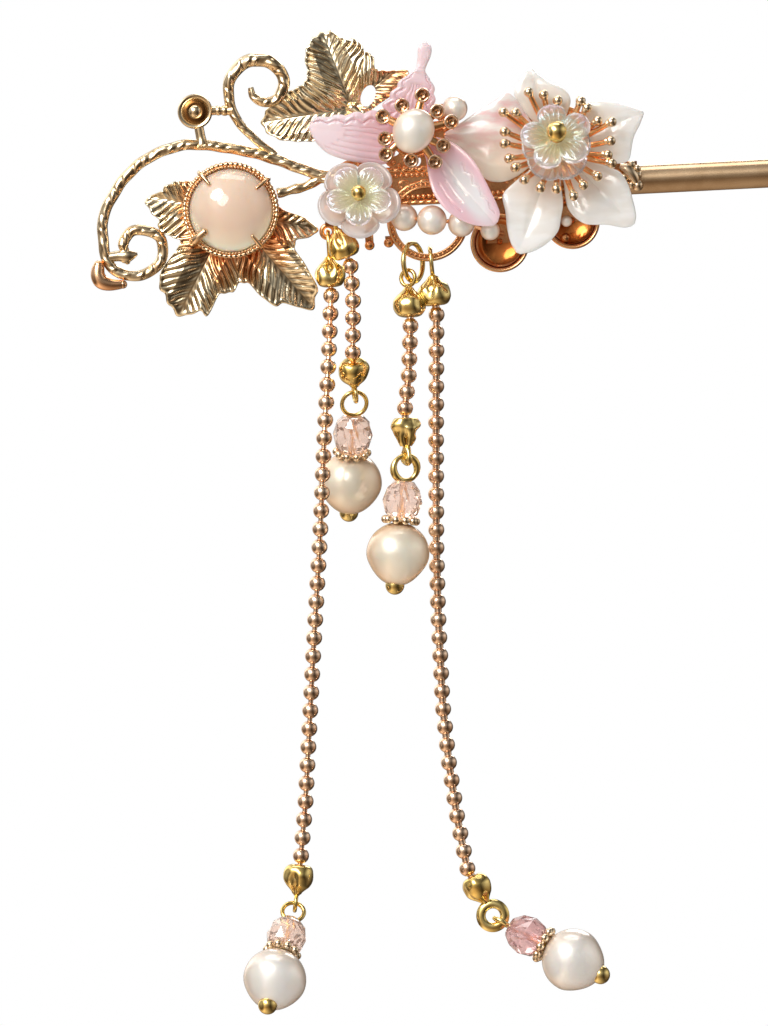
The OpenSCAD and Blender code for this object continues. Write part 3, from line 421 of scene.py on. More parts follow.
def pearl_material(name, middle, edge):
    """Pearl coating: a bright body that turns to another colour at its edges, partly the pearl's own warm
    overtone and partly painted shade, under a clear shine.
    """
    material, tree, shader = new_material(name)
    # Painted shade: the edge colour darkens the pearl where its surface turns away from the camera
    away = add_node(tree, "LayerWeight", {"Blend": 0.45}).outputs["Facing"]
    cloudy = {0: add_noise(tree, 0.25, 2), 1: 0.25, 2: away}
    rim_tone_and_shade = add_node(tree, "Math", cloudy, operation="MULTIPLY_ADD").outputs["Value"]
    between = [0.7 * a + 0.3 * b for a, b in zip(middle, edge)]
    fill(tree, shader, {
        "Base Color": add_ramp(tree, rim_tone_and_shade, [(0.15, middle), (0.4, between), (0.75, edge)]),
        "Metallic": 0.3, "Roughness": 0.3, "Specular IOR Level": 0.6,
        "Coat Weight": 1, "Coat Roughness": 0.07,
        "Subsurface Weight": 0.25, "Subsurface Radius": (1.0, 0.7, 0.5), "Subsurface Scale": 1 * MM,
        "Normal": add_relief(tree, add_noise(tree, 0.5, 2), 0.01),
    })
    return material


def glass_material(name, body, rim, rough, clear, film=0, scatter=0.0, shine=1.0):
    """Tinted glass or resin whose rim takes another colour by the mesh's tint."""
    material, tree, shader = new_material(name)
    fill(tree, shader, {
        "Base Color": add_ramp(tree, add_tint(tree), [(0.08, body), (0.7, rim)]),
        "Roughness": rough, "IOR": 1.5, "Transmission Weight": clear,
        "Coat Weight": shine, "Coat Roughness": 0.04,
        "Thin Film Thickness": film, "Thin Film IOR": 1.4,
        "Subsurface Weight": scatter, "Subsurface Radius": (1.0, 0.6, 0.5), "Subsurface Scale": 1.5 * MM,
        "Normal": add_relief(tree, add_noise(tree, 0.8, 2), 0.012),
    })
    return material


def moonstone_material(name):
    """Milky stone: peach body with a painted pale yellow glow of light towards its lower edge."""
    material, tree, shader = new_material(name)
    fill(tree, shader, {
        "Base Color": add_ramp(tree, add_tint(tree), STONE_BODY_AND_GLOW),
        "Roughness": 0.08, "Coat Weight": 1, "Coat Roughness": 0.02,
        "Subsurface Weight": 0.7, "Subsurface Radius": (1.0, 0.7, 0.5), "Subsurface Scale": 2 * MM,
    })
    return material


def shell_material(name, body, root, light, patch=0.25):
    """Polished shell: white with faint growth bands, warmer towards the flower's middle."""
    material, tree, shader = new_material(name)
    bands = add_noise(tree, patch, 3, (1, 1, 3))
    banded = add_ramp(tree, bands, [(0.4, body), (0.6, light)])
    blend = add_node(tree, "Mix", {"Factor": add_tint(tree), "A": (*root, 1), "B": banded}, data_type="RGBA")
    fill(tree, shader, {
        "Base Color": blend.outputs["Result"],
        "Roughness": 0.22, "Coat Weight": 1, "Coat Roughness": 0.05,
        "Subsurface Weight": 0.4, "Subsurface Radius": (1.0, 0.8, 0.7), "Subsurface Scale": 1 * MM,
        "Normal": add_relief(tree, bands, 0.02),
    })
    return material


# Brushed along the stick, with finer grain
satin_gold = gold("satin_gold", (0.66, 0.45, 0.27), (0.76, 0.54, 0.34), 0.22, 0.08, 2.0, 0.003, 6.0,
                  (0.05, 1, 1))
pale_gold = gold("pale_gold", (0.88, 0.66, 0.40), (0.96, 0.79, 0.54), 0.13)
rose_gold = gold("rose_gold", (0.94, 0.49, 0.25), (0.99, 0.62, 0.37), 0.17)
stalk_gold = gold("stalk_gold", (0.95, 0.48, 0.21), (1.0, 0.61, 0.32), 0.17)
# plate_gold_and_shade: rose gold, darkened in part as painted shade in the gaps between the plate's trims
plate_gold_and_shade = gold("plate_gold_and_shade", (0.74, 0.33, 0.14), (0.86, 0.44, 0.21), 0.17)
# cup_gold_and_shade: copper gold darkened to deep red-brown as painted shade inside the cups
cup_gold_and_shade = gold("cup_gold_and_shade", (0.56, 0.16, 0.04), (0.72, 0.26, 0.07), 0.1)
chain_gold = gold("chain_gold", (0.93, 0.62, 0.43), (0.98, 0.74, 0.55), 0.16, 0.08)
setting_gold = gold("setting_gold", (0.90, 0.58, 0.34), (0.97, 0.72, 0.47), 0.13)
bead_gold = gold("bead_gold", (0.92, 0.70, 0.47), (0.98, 0.82, 0.61), 0.12)
curl_gold = gold("curl_gold", (0.94, 0.63, 0.42), (0.98, 0.76, 0.56), 0.12)
bright_gold = gold("bright_gold", (0.90, 0.64, 0.20), (0.98, 0.80, 0.36), 0.14)
leaf_gold = leaf_material("leaf_gold")
# Each pearl's second colour is its rim: warm overtone with painted shade
pearl = pearl_material("pearl", (1.0, 0.92, 0.77), (0.84, 0.56, 0.34))
cool_pearl = pearl_material("cool_pearl", (0.98, 0.95, 0.91), (0.78, 0.64, 0.53))
small_pearl = pearl_material("small_pearl", (1.0, 0.94, 0.86), (0.84, 0.60, 0.44))
crystal_green = glass_material("crystal_green", (0.89, 0.97, 0.70), (1.0, 0.90, 0.96), 0.01, 0.8, 340)
crystal_dish = glass_material("crystal_dish", (1.0, 0.86, 0.80), (1.0, 0.91, 0.92), 0.03, 0.8, 420)
frosted_pink = glass_material("frosted_pink", (1.0, 0.75, 0.66), (1.0, 0.91, 0.89), 0.08, 0.5, 0, 0.2)
crystal_pink = glass_material("crystal_pink", (1.0, 0.77, 0.66), (1.0, 0.77, 0.66), 0.0, 0.78)
crystal_mauve = glass_material("crystal_mauve", (0.80, 0.50, 0.49), (0.80, 0.50, 0.49), 0.0, 0.7)
wing_pink = glass_material("wing_pink", (0.95, 0.59, 0.67), (0.98, 0.76, 0.81), 0.25, 0.05, 0, 0.4, 0.4)
# wing_pearly's rim colour is the right wing's painted highlight band
wing_pearly = glass_material("wing_pearly", (0.93, 0.60, 0.68), (0.98, 0.93, 0.96), 0.1, 0.05, 250, 0.3)
moonstone = moonstone_material("moonstone")
shell_white = shell_material("shell_white", (0.88, 0.86, 0.83), (0.93, 0.82, 0.70), (0.95, 0.94, 0.92))
# shell_pink's root colour is painted shade with a warm reflection, on the left petal's lower part
shell_pink = shell_material("shell_pink", (0.95, 0.66, 0.67), (0.95, 0.84, 0.70), (0.97, 0.90, 0.88), 0.4)

# Depths forward from the stick's axis, as in the CAD
GAP = 0.1
STICK_R = 1.75
PLATE_T = 0.9
PLATE_BACK = STICK_R + GAP
PLATE_FRONT = PLATE_BACK + PLATE_T
ON_PLATE = PLATE_FRONT + GAP
BAR_R = 0.65
SCROLL_DEPTH = ON_PLATE + BAR_R
ARM_DEPTH = SCROLL_DEPTH - 0.06

# Scroll frame
SCROLL_ROOT, SCROLL_W = (-38.9, 2.6), 26
SCROLL_PAD = (-36.4, 2.1)
SMALL_FOOT, SMALL_H = (-43.5, 5), 11.5
BOSS, BOSS_R = (-52.9, 10.75), 2.1
# Shares of the large scroll's width, from its root
LARGE_SCROLL = [
    (0, 0), (-0.17, 0.07), (-0.3, 0.115), (-0.49, 0.155), (-0.62, 0.158), (-0.76, 0.112), (-0.865, 0.034),
    (-0.94, -0.064), (-0.988, -0.172), (-0.98, -0.345), (-0.925, -0.41), (-0.845, -0.43), (-0.76, -0.4),
    (-0.72, -0.338), (-0.726, -0.266), (-0.78, -0.226), (-0.852, -0.223), (-0.894, -0.264), (-0.9, -0.315),
]
# Shares of the small scroll's height, from its foot, and its bar's share of the bar's radius
SMALL_SCROLL = [
    (0, 0, 0.7), (-0.22, 0.19, 0.75), (-0.38, 0.385, 0.85), (-0.445, 0.55, 0.95), (-0.455, 0.75, 1.05),
    (-0.37, 0.91, 1.15), (-0.22, 1, 1.25), (-0.055, 0.99, 1.25), (0.085, 0.885, 1.15), (0.12, 0.735, 1.1),
    (0.05, 0.595, 1), (-0.1, 0.56, 0.9), (-0.2, 0.625, 0.75), (-0.225, 0.72, 0.5),
]
# Boss: its cup's rim as radius in from the outside and height, and its pip as radius and height
BOSS_RIM = [(0.5, 0), (0.12, 0.2), (0, 0.6), (0.03, 1.1), (0.18, 1.32), (0.4, 1.3), (0.62, 1.0), (0.85, 0.72)]
BOSS_PIP = [(0.95, 0.66), (0.9, 0.9), (0.85, 1.3), (0.62, 1.68), (0.35, 1.84), (0, 1.9)]
# Knobs on the boss's arm: share of its length and radius
KNOBS = [(0.3, 0.6), (0.62, 0.64)]
# Bends of the tab below the scroll, from its anchor
TAB_BEND = [(-1.1, 1.2), (-1.25, 0.1), (-0.85, -0.75), (0.2, -1.15), (1.7, -1.2)]
# Stalk and two lobes of the small bract inside the curl, from the bar: bends and radii
BRACT = [
    ([(0, 0), (1.4, 0.15), (2.6, 0.1), (3.75, 0.3)], [0.6, 0.64, 0.76, 0.16]),
    ([(1.9, 0.1), (2.3, 0.6), (2.55, 1.25)], [0.55, 0.56, 0.14]),
    ([(1.9, 0.1), (2.4, -0.4), (2.6, -0.9)], [0.55, 0.56, 0.16]),
]
BRANCH_BENDS = [(-41.9, 0.75), (-40.2, 1.1), (-38.4, 1.85)]
GOUGE_PITCH, GOUGE_DEPTH = 1.55, 0.24
GOUGE_SLOPE = 0.72


def gouged(s, a):
    """Long slanting facets across the front of the scroll's bar, as on a hammered rope."""
    front = max(0.0, sin(a)) ** 0.5
    turn = s / GOUGE_PITCH - 0.42 * a + 0.22 * sin(1.3 * s) + 0.1 * sin(3.7 * s)
    share = turn % 1
    tooth = share / GOUGE_SLOPE if share < GOUGE_SLOPE else (1 - share) / (1 - GOUGE_SLOPE)
    return 1 - GOUGE_DEPTH * front * (1 - tooth) ** 1.3 + 0.05 * sin(2.1 * s + a)


def on_large(x, z):
    """A place in shares of the large scroll's width."""
    return SCROLL_ROOT[0] + SCROLL_W * x, SCROLL_ROOT[1] + SCROLL_W * z


def on_small(x, z):
    """A place in shares of the small scroll's height."""
    return SMALL_FOOT[0] + SMALL_H * x, SMALL_FOOT[1] + SMALL_H * z


def moved(points, at):
    return [(at[0] + x, at[1] + z) for x, z in points]


def scroll_bars(shape):
    large = flat_curve([SCROLL_PAD] + [on_large(x, z) for x, z in LARGE_SCROLL], SCROLL_DEPTH, 24)
    left = reversed(range(len(large)))
    shape.add(tube(large, [BAR_R * min(1, 0.45 + steps / 26) for steps in left], 20, gouged))
    small = flat_curve([on_small(x, z) for x, z, _ in SMALL_SCROLL], SCROLL_DEPTH - 0.02, 16)
    shares = eased([row[2] for row in SMALL_SCROLL], 16)
    shape.add(tube(small, [BAR_R * share for share in shares], 20, gouged))


def spread_bar(a, b, r_a, r_mid, r_b):
    """A short bar that grows wider to its ends."""
    path = flat_curve([a, ((a[0] + b[0]) / 2, (a[1] + b[1]) / 2), b], ARM_DEPTH, 6)
    offs = [2 * i / (len(path) - 1) - 1 for i in range(len(path))]
    return tube(path, [r_mid + ((r_a if off < 0 else r_b) - r_mid) * off ** 2 for off in offs], 16)


def scroll_boss(shape):
    rim = [(BOSS_R - inside, height) for inside, height in BOSS_RIM]
    shape.add(revolve([(0, 0)] + rim + BOSS_PIP), facing(BOSS, SCROLL_DEPTH - BAR_R))
    side = on_small(-0.43, 0.49)
    shape.add(spread_bar((BOSS[0] + BOSS_R - 0.3, BOSS[1]), side, 0.62, 0.5, 0.66))
    for share, r in KNOBS:
        x = BOSS[0] + BOSS_R + (side[0] - BOSS[0] - BOSS_R) * share
        z = BOSS[1] + (side[1] - BOSS[1]) * share
        shape.add(ball(r, 16, 10), shift(in_plane((x, z), ARM_DEPTH)))
    foot = (BOSS[0] + 0.35, BOSS[1] - BOSS_R + 0.35)
    shape.add(spread_bar(foot, on_large(-0.512, 0.15), 0.56, 0.58, 1.05))


def make_scroll_tab():
    bent = flat_curve(moved(TAB_BEND, on_large(-0.975, -0.42)), SCROLL_DEPTH + 0.1, 8)
    n = len(bent) - 1
    tab = Shape()
    tab.add(tube(bent, [0.48 + 0.42 * sin(pi * min(1, 0.15 + 0.85 * i / n)) for i in range(n + 1)], 18))
    tab.add(ball(0.62, 18, 12), shift(bent[0]))
    tab.add(ball(0.52, 18, 12), shift(bent[-1]))
    make("scroll_tab", tab, rose_gold, [], 50)


def make_scroll():
    shape = Shape()
    scroll_bars(shape)
    scroll_boss(shape)
    make_scroll_tab()
    for bends, radii in BRACT:
        path = flat_curve(moved(bends, on_large(-0.98, -0.34)), SCROLL_DEPTH - 0.05, 6)
        shape.add(tube(path, eased(radii, 6), 16, flat=0.8))
    stone, stone_size = place_of("moonstone")
    bezel_r = stone_size.x / 2 + 0.9
    start = (stone.x + bezel_r * 0.954, stone.z + bezel_r * 0.3)
    end = (SCROLL_PAD[0] - 0.6, SCROLL_PAD[1] - 0.35)
    path = flat_curve([start] + BRANCH_BENDS + [end], SCROLL_DEPTH - 0.04, 6)
    shape.add(tube(path, [0.56 + 0.06 * sin(i * 0.9) for i in range(len(path))], 16, gouged))
    make("scroll", shape, pale_gold, ["scroll_frame"], 50)


# Leaves: outlines as angle, radius and rise of the edge, in shares of the leaf's width
UPPER_LEAF_EDGE = [
    (28, 0.45, -0.02), (42, 0.36, 0), (56, 0.31, 0.02), (66, 0.38, 0.01), (75, 0.4, 0), (83, 0.46, -0.01),
    (94, 0.47, -0.01), (103, 0.54, -0.03), (116, 0.54, -0.02), (128, 0.48, 0), (139, 0.38, 0.02),
    (152, 0.37, 0.02), (165, 0.46, 0), (185, 0.61, -0.03), (197, 0.56, -0.01), (211, 0.4, 0.01),
    (226, 0.28, 0), (267, 0.13, 0), (331, 0.11, 0), (367, 0.19, 0),
]
LOWER_LEAF_EDGE = [
    (2, 0.3, 0), (40, 0.24, 0), (90, 0.24, 0), (130, 0.25, 0), (151, 0.4, 0), (162, 0.45, 0),
    (167, 0.51, -0.02), (174, 0.49, 0), (183, 0.43, 0.01), (190, 0.44, 0), (208, 0.35, 0.02),
    (219, 0.57, 0), (229, 0.63, -0.02), (241, 0.68, -0.04), (249, 0.61, -0.01), (254, 0.62, -0.02),
    (259, 0.49, 0.01), (268, 0.47, 0), (274, 0.42, 0.02), (282, 0.44, 0.01), (291, 0.59, 0),
    (300, 0.64, -0.02), (306, 0.74, -0.04), (311, 0.72, -0.03), (317, 0.66, 0), (326, 0.46, 0.02),
    (334, 0.42, 0.01), (344, 0.52, -0.02), (350, 0.49, -0.01),
]
# Angles of the veins
UPPER_VEINS = [108, 186, 40]
LOWER_VEINS = [165, 240, 308, 347]
UPPER_AT, UPPER_W = (-34.1, 10.2), 17.9
LOWER_AT, LOWER_W, LOWER_DEPTH = (-49.204, -1.6), 20.3, 1.5
# Hole of the upper leaf: place in shares of its width, half-width, half-height and turn
HOLE_AT, HOLE_R, HOLE_TURN = (0.1125, 0.0775), (0.84, 1.35), 24
STEM_END = (-30.7, 7.2)
LEAF_T = 0.55
LEAF_ROOT_R = 0.35
LEAF_STEPS, LEAF_RINGS, BACK_RING = 640, 72, 18
RIB_PITCH, RIB_H = 0.98, 0.23
RIM_H = 0.2
VEIN_FOLD, FOLD_REACH = 0.42, 2.0
BEHIND = 9


def leaf_relief(x, y, share, veins):
    """Height of the ribs, the folds along the veins and the raised rim."""
    def seen_from(vein):
        a = radians(vein)
        along, off = x * cos(a) + y * sin(a), y * cos(a) - x * sin(a)
        return (atan2(abs(off), max(along, 1e-3)) if along > 0 else BEHIND), along, off

    _, along, off = min(map(seen_from, veins), key=lambda vein: vein[0])
    away = abs(off)
    uneven = noise.noise(Vector((0.55 * along, 0.55 * off, 3.7)))
    wave = 0.5 + 0.5 * cos(2 * pi * (along - 0.95 * away + 0.35 * uneven) / RIB_PITCH)
    fade = min(1, away / 0.7) * min(1, share / 0.15) * clamp((1 - share) / 0.07)
    ribs = RIB_H * (1 + 0.8 * uneven) * (wave ** 1.3 - 0.5) * fade
    fold = VEIN_FOLD * min(away, FOLD_REACH) * min(1, share / 0.3)
    ridge = 0.1 * bump(off, 0.3) * clamp(along / 1.5)
    return ribs + fold + ridge + RIM_H * bump(1 - share, 0.04)


def leaf_surface(edge, width, veins):
    """A lobed leaf in lines from its root to its edge and back: relief in front, a plain back."""
    rows = [(q - 360, r, h) for q, r, h in edge[-2:]] + edge + [(q + 360, r, h) for q, r, h in edge[:3]]
    loops = []
    for i in range(LEAF_STEPS):
        q = edge[0][0] + 360 * i / LEAF_STEPS
        a = radians(q)
        r, rise = columns_at(rows, q)
        edge_r = r * width * (1 + 0.012 * sin(a * 47))
        front, back = [], []
        for k in range(LEAF_RINGS + 1):
            share = k / LEAF_RINGS
            x, y = polar(LEAF_ROOT_R + (edge_r - LEAF_ROOT_R) * share, a)
            base = width * (rise * share * share + 0.03 * sin(pi * share))
            soft = sqrt(max(0, 1 - max(0, (share - 0.96) / 0.04) ** 2))
            lift = leaf_relief(x, y, share, veins) if k else 0
            front.append((x, y, base + LEAF_T * (0.5 + 0.5 * soft) + lift))
            if k % BACK_RING == 0:
                back.append((x, y, base))
        loops.append(front + back[::-1])
    return loft(loops, closed=True)


def cut_hole(piece, at, r, turn):
    """Cuts an oval hole through a leaf, along the depth."""
    where = shift(in_plane(at, 0)) @ spin(turn, "Y") @ spin(90, "X") @ Matrix.Diagonal((*r, 1, 1))
    shape = Shape().add(revolve([(0, -4), (1, -4), (1, 4), (0, 4)], 32), where)
    cutter = link("cutter", new_mesh("cutter", shape))
    modifier = piece.modifiers.new("hole", "BOOLEAN")
    modifier.operation = "DIFFERENCE"
    modifier.object = cutter
    graph = bpy.context.evaluated_depsgraph_get()
    cut = bpy.data.meshes.new_from_object(piece.evaluated_get(graph))
    piece.modifiers.clear()
    piece.data = cut
    bpy.data.objects.remove(cutter)


def make_upper_leaf():
    leaf = Shape().add(leaf_surface(UPPER_LEAF_EDGE, UPPER_W, UPPER_VEINS), facing(UPPER_AT, PLATE_BACK))
    piece = make("leaf_top", leaf, leaf_gold, ["upper_leaf"],
                 tint=lambda v: min(1, max(0.2, (-28.5 - v.x) / 4)))
    hole = (UPPER_AT[0] + HOLE_AT[0] * UPPER_W, UPPER_AT[1] + HOLE_AT[1] * UPPER_W)
    cut_hole(piece, hole, HOLE_R, HOLE_TURN)
    root = in_plane(UPPER_AT, ON_PLATE - 0.1)
    path = curve([root] + [in_plane(p, ON_PLATE + 0.35) for p in ((-31.9, 8.3), STEM_END)], 6)
    stem = Shape().add(tube(path, [0.6 - 0.02 * i for i in range(len(path))]))
    stem.add(ball(0.62, 16, 10), shift(root))
    stem.add(ball(0.42, 16, 10), shift(in_plane(STEM_END, ON_PLATE + 0.3)))
    make("leaf_top_stem", stem, pale_gold, crease=40)


def make_lower_leaf():
    where = facing(LOWER_AT, LOWER_DEPTH)
    leaf = Shape().add(leaf_surface(LOWER_LEAF_EDGE, LOWER_W, LOWER_VEINS), where)
    leaf.add(revolve([(0, 0.02), (2, 0.02), (2, LEAF_T), (0, LEAF_T)], 32), where)

    def paleness(v):
        out = hypot(v.x - LOWER_AT[0], v.z - LOWER_AT[1])
        return clamp((out - 5.6 - 0.9 * sin(1.7 * v.x)) / 4.5 + (v.x < LOWER_AT[0] - 4) * 0.4)

    make("leaf_low", leaf, leaf_gold, ["lower_leaf"], tint=paleness)


# Moonstone and its setting
GIRDLE = 1.0
WALL_T, WALL_H = 0.6, 1.9
TEETH, DOTS = 60, 84
# Claws: radius past the wall's outside, and height
CLAW = [(0.1, 0.9), (0.12, 1.7), (-0.05, 2.35), (-0.5, 2.75), (-1.15, 2.95), (-1.6, 3.05)]
CLAW_TURN = 37
CLAW_WIDTHS = [1, 1, 1.9, 1]


def make_stone():
    middle, size = place_of("moonstone")
    r, height = size.x / 2, size.y
    dome = height - GIRDLE
    sphere_r = (r * r + dome * dome) / (2 * dome)
    reach = asin(r / sphere_r)
    profile = [(0, 0), (r - 0.15, 0), (r, 0.15)]
    for a in (reach * (1 - k / 24) for k in range(25)):
        profile.append((sphere_r * sin(a), height - sphere_r * (1 - cos(a))))

    # Painted glow of light: the tint rises towards the stone's lower edge and its lower rim
    def painted_glow(v):
        down = (middle.z - v.z) / r
        out = hypot(v.x - middle.x, v.z - middle.z) / r
        return clamp(0.25 + 0.55 * down * out + 0.35 * max(0, out - 0.8) / 0.2 * (down > 0))

    where = facing((middle.x, middle.z), -(middle.y + size.y / 2))
    make("stone", Shape().add(revolve(profile, 96), where), moonstone, ["moonstone"], tint=painted_glow)


def milling(a, b):
    """Teeth cut across the outer side of the setting's rope."""
    tooth = 0.5 + 0.5 * cos(TEETH * a + 0.9 * sin(b))
    return 1 - 0.34 * tooth * (cos(b - 0.8) > -0.5)


def make_setting():
    stone, stone_size = place_of("moonstone")
    middle, size = place_of("stone_setting")
    where = facing((stone.x, stone.z), -(middle.y + size.y / 2))
    inner = stone_size.x / 2 + GAP
    outer = inner + WALL_T
    shape = Shape().add(spun([
        (1.2, 0), (outer - 1, 0), (outer - 0.35, 0.35), (outer - 0.2, 0.8), (outer - 0.22, WALL_H - 0.5),
        (inner + 0.1, WALL_H - 0.1), (inner, WALL_H - 0.2), (inner, 0.45), (1.2, 0.45)], 96), where)
    rope = hoop(inner + 0.42, 0.3, TEETH * 6, 12, milling)
    shape.add(rope, where @ shift((0, 0, WALL_H - 0.3)) @ spin(-90, "X"))
    for a in turns(DOTS):
        shape.add(ball(0.16, 8, 6), where @ shift((*polar(inner + 0.1, a), WALL_H - 0.02)))
    path = curve([(outer + out, 0, z) for out, z in CLAW], 5)
    n = len(path) - 1
    for k, wide in enumerate(CLAW_WIDTHS):
        claw = where @ spin(CLAW_TURN + 90 * k, "Z")
        radii = [wide * (0.32 - 0.1 * i / n) for i in range(n + 1)]
        shape.add(tube(path, radii, 14, front=(0, 1, 0)), claw)
        shape.add(ball(0.24 * wide, 14, 10), claw @ shift((outer - 1.6, 0, 3.03)))
    make("setting", shape, setting_gold, ["stone_setting"], 55)


# Wings: rows of share along, left and right half-width, and rise, in shares of the wing's length
LEFT_WING = [
    (0, 0.2, 0.1, 0), (0.1, 0.31, 0.18, 0.01), (0.24, 0.325, 0.275, 0.02), (0.45, 0.325, 0.25, 0.035),
    (0.6, 0.305, 0.21, 0.03), (0.76, 0.26, 0.175, 0.02), (0.88, 0.175, 0.15, 0.01), (0.96, 0.08, 0.12, 0),
    (1, 0.01, 0.07, 0),
]
TOP_WING = [
    (0, 0.2, 0.15, 0), (0.14, 0.36, 0.22, 0.01), (0.28, 0.32, 0.24, 0.02), (0.42, 0.255, 0.23, 0.02),
    (0.55, 0.18, 0.175, 0.02), (0.62, 0.09, 0.1, 0.01), (0.67, 0.05, 0.062, 0.01), (0.74, 0.048, 0.07, 0),
    (0.82, 0.055, 0.09, 0), (0.91, 0.065, 0.095, 0), (0.97, 0.04, 0.07, 0), (1, 0.01, 0.02, 0),
]
RIGHT_WING = [
    (0, 0.11, 0.07, 0), (0.1, 0.175, 0.105, 0), (0.22, 0.215, 0.175, 0.01), (0.4, 0.235, 0.255, 0.03),
    (0.6, 0.205, 0.27, 0.04), (0.75, 0.17, 0.23, 0.03), (0.88, 0.135, 0.16, 0.01), (0.96, 0.1, 0.08, 0),
    (1, 0.04, 0.02, 0),
]
LEFT_WING_AT, LEFT_WING_L, LEFT_WING_TURN = (-28.9, 6.4), 10.6, 81
TOP_WING_AT, TOP_WING_L, TOP_WING_TURN = (-27.3, 7.6), 10.4, -13
RIGHT_WING_AT, RIGHT_WING_L, RIGHT_WING_TURN, RIGHT_WING_TILT = (-25.2, 5.3), 12.6, 217, 9
WING_T = 0.75
RIGHT_WING_DEPTH = ON_PLATE + 1.1 + 1.5 * WING_T + 0.3
# Engraved lines: where each lies across the left and the top wing
LEFT_LINES = [0.3, 0.08, -0.14, -0.36, -0.58, -0.8]
TOP_LINES = [-1.6, -0.8, 0, 0.8, 1.6]
# Dashes of the right wing: where each lies across it, and the shares along it where it starts and stops
RIGHT_DASHES = [(0.12, 0.44, 0.62), (0.4, 0.38, 0.66), (0.66, 0.36, 0.72)]


def whole(s, u):
    """The edge of a blade that keeps its width."""
    return 1


def blade(rows, length, thick, relief, fold=0.0, crown=0.0, edge=whole, steps=70, halves=22):
    """A wing or petal lofted along +Y: relief(s, u) raises its front, edge(s, u) scales its width."""
    loops = []
    for i in range(steps + 1):
        s = 0.5 - 0.5 * cos(pi * i / steps)
        left, right, rise = columns_at(rows, s)
        front, rear = [], []
        for j in range(-halves, halves + 1):
            u = sin(pi / 2 * j / halves)
            w = length * (left if u < 0 else right) * edge(s, u)
            round_off = (1 - abs(u) ** 6) ** 0.5 * (1 - (2 * s - 1) ** 16) ** 0.5
            mid = length * rise + fold * abs(u) * w + crown * (1 - u * u)
            x, y = u * w, length * s
            front.append((x, y, mid + thick / 2 * round_off + relief(s, u) * round_off))
            rear.append((x, y, mid - thick / 2 * round_off))
        loops.append(front + rear[::-1])
    return loft(loops)


def scallop(s, n):
    return abs(sin(pi * n * s))


def left_edge(s, u):
    return 1 - 0.12 * (1 - scallop(s, 5)) * (u > 0.05) * (s > 0.12)


def left_relief(s, u):
    ridge = 0.5 + 0.16 * scallop(s, 5)
    cells = -0.3 * bump(u - ridge, 0.05) * (0.12 < s < 0.97) + 0.14 * bump(u - 0.82, 0.1) * scallop(s, 5)
    spokes = -0.16 * (u > 0.5) * bump(scallop(s + 0.1, 5), 0.16) * (s > 0.15)
    for line in LEFT_LINES:
        cells -= 0.16 * bump(u - line - 0.12 * (s - 0.5), 0.03) * (0.05 < s < 0.55 + 0.3 * abs(line))
    return cells + spokes + 0.14 * (1 - u * u) * sin(pi * s)


def top_edge(s, u):
    return 1 - 0.12 * (1 - scallop(s, 7)) * (0.1 < s < 0.58)


def top_relief(s, u):
    lines = sum(-0.15 * bump(u - line * 0.34 * (1 - s), 0.045) for line in TOP_LINES) * (0.05 < s < 0.5)
    cells = -0.22 * bump(abs(u) - 0.62 - 0.15 * scallop(s, 7), 0.06) * (0.1 < s < 0.62)
    tail = 0.12 * (s > 0.7) * (1 - u * u) + 0.12 * bump(s - 0.66, 0.03)
    return lines + cells + tail


def right_relief(s, u):
    cells = -0.24 * bump(u + 0.42 + 0.16 * scallop(s, 7), 0.05) * (0.35 < s < 0.92)
    for line, start, stop in RIGHT_DASHES:
        cells -= 0.2 * bump(u - line - 0.1 * (s - 0.5), 0.035) * (start < s < stop)
    cells -= 0.12 * (bump(u + 0.1, 0.04) + bump(u - 0.28, 0.04)) * (0.05 < s < 0.35)
    bowl = -0.45 * (1 - u * u) ** 2 * sin(pi * min(1, s * 1.05)) ** 2
    return cells + bowl


def make_wings():
    left = Shape().add(blade(LEFT_WING, LEFT_WING_L, WING_T, left_relief, 0.06, 0.15, left_edge, 110, 34),
                       facing(LEFT_WING_AT, ON_PLATE + 1.5 * WING_T + 0.25, LEFT_WING_TURN))
    make("wing_left", left, wing_pink, ["left_wing"],
         tint=lambda v: clamp((LEFT_WING_AT[0] - v.x) / LEFT_WING_L))

    top = Shape().add(blade(TOP_WING, TOP_WING_L, WING_T, top_relief, edge=top_edge, steps=120, halves=30),
                      facing(TOP_WING_AT, ON_PLATE + WING_T / 2, TOP_WING_TURN))
    make("wing_top", top, wing_pink, ["top_wing"], tint=lambda v: clamp((v.z - 8) / 9))

    where = facing(RIGHT_WING_AT, RIGHT_WING_DEPTH, RIGHT_WING_TURN) @ spin(RIGHT_WING_TILT, "X")
    back = where.inverted()

    # Painted highlight: a pale band along the middle of the wing, in wing_pearly's rim colour
    def painted_sheen(v):
        local = back @ v / RIGHT_WING_L
        return clamp(bump(local.x + 0.02 - 0.1 * (local.y - 0.5), 0.11) * bump(local.y - 0.62, 0.34) * 1.1)

    form = blade(RIGHT_WING, RIGHT_WING_L, WING_T, right_relief, 0.34, steps=120, halves=36)
    right = Shape().add(form, where)
    make("wing_right", right, wing_pearly, ["right_wing"], tint=painted_sheen)


# Rosette: cup curls on arms round a pearl
CURLS_PX = [(422, 96.5), (437, 112.6), (451, 123), (443, 147), (435, 163), (411, 161.6), (386, 155.5),
            (385, 140), (383, 118), (402, 107)]
ROSETTE_AT = (-26.9, 7.0)
ROSETTE_DEPTH = RIGHT_WING_DEPTH + WING_T / 2 + 1.2
DISH_R = 2.3
CURL_R, CURL_REACH = 0.9, 4.75
ARM_WIDTHS = [0.62, 0.6, 0.57, 0.54, 0.5, 0.48, 0.47, 0.46, 0.46, 0.48, 0.5]


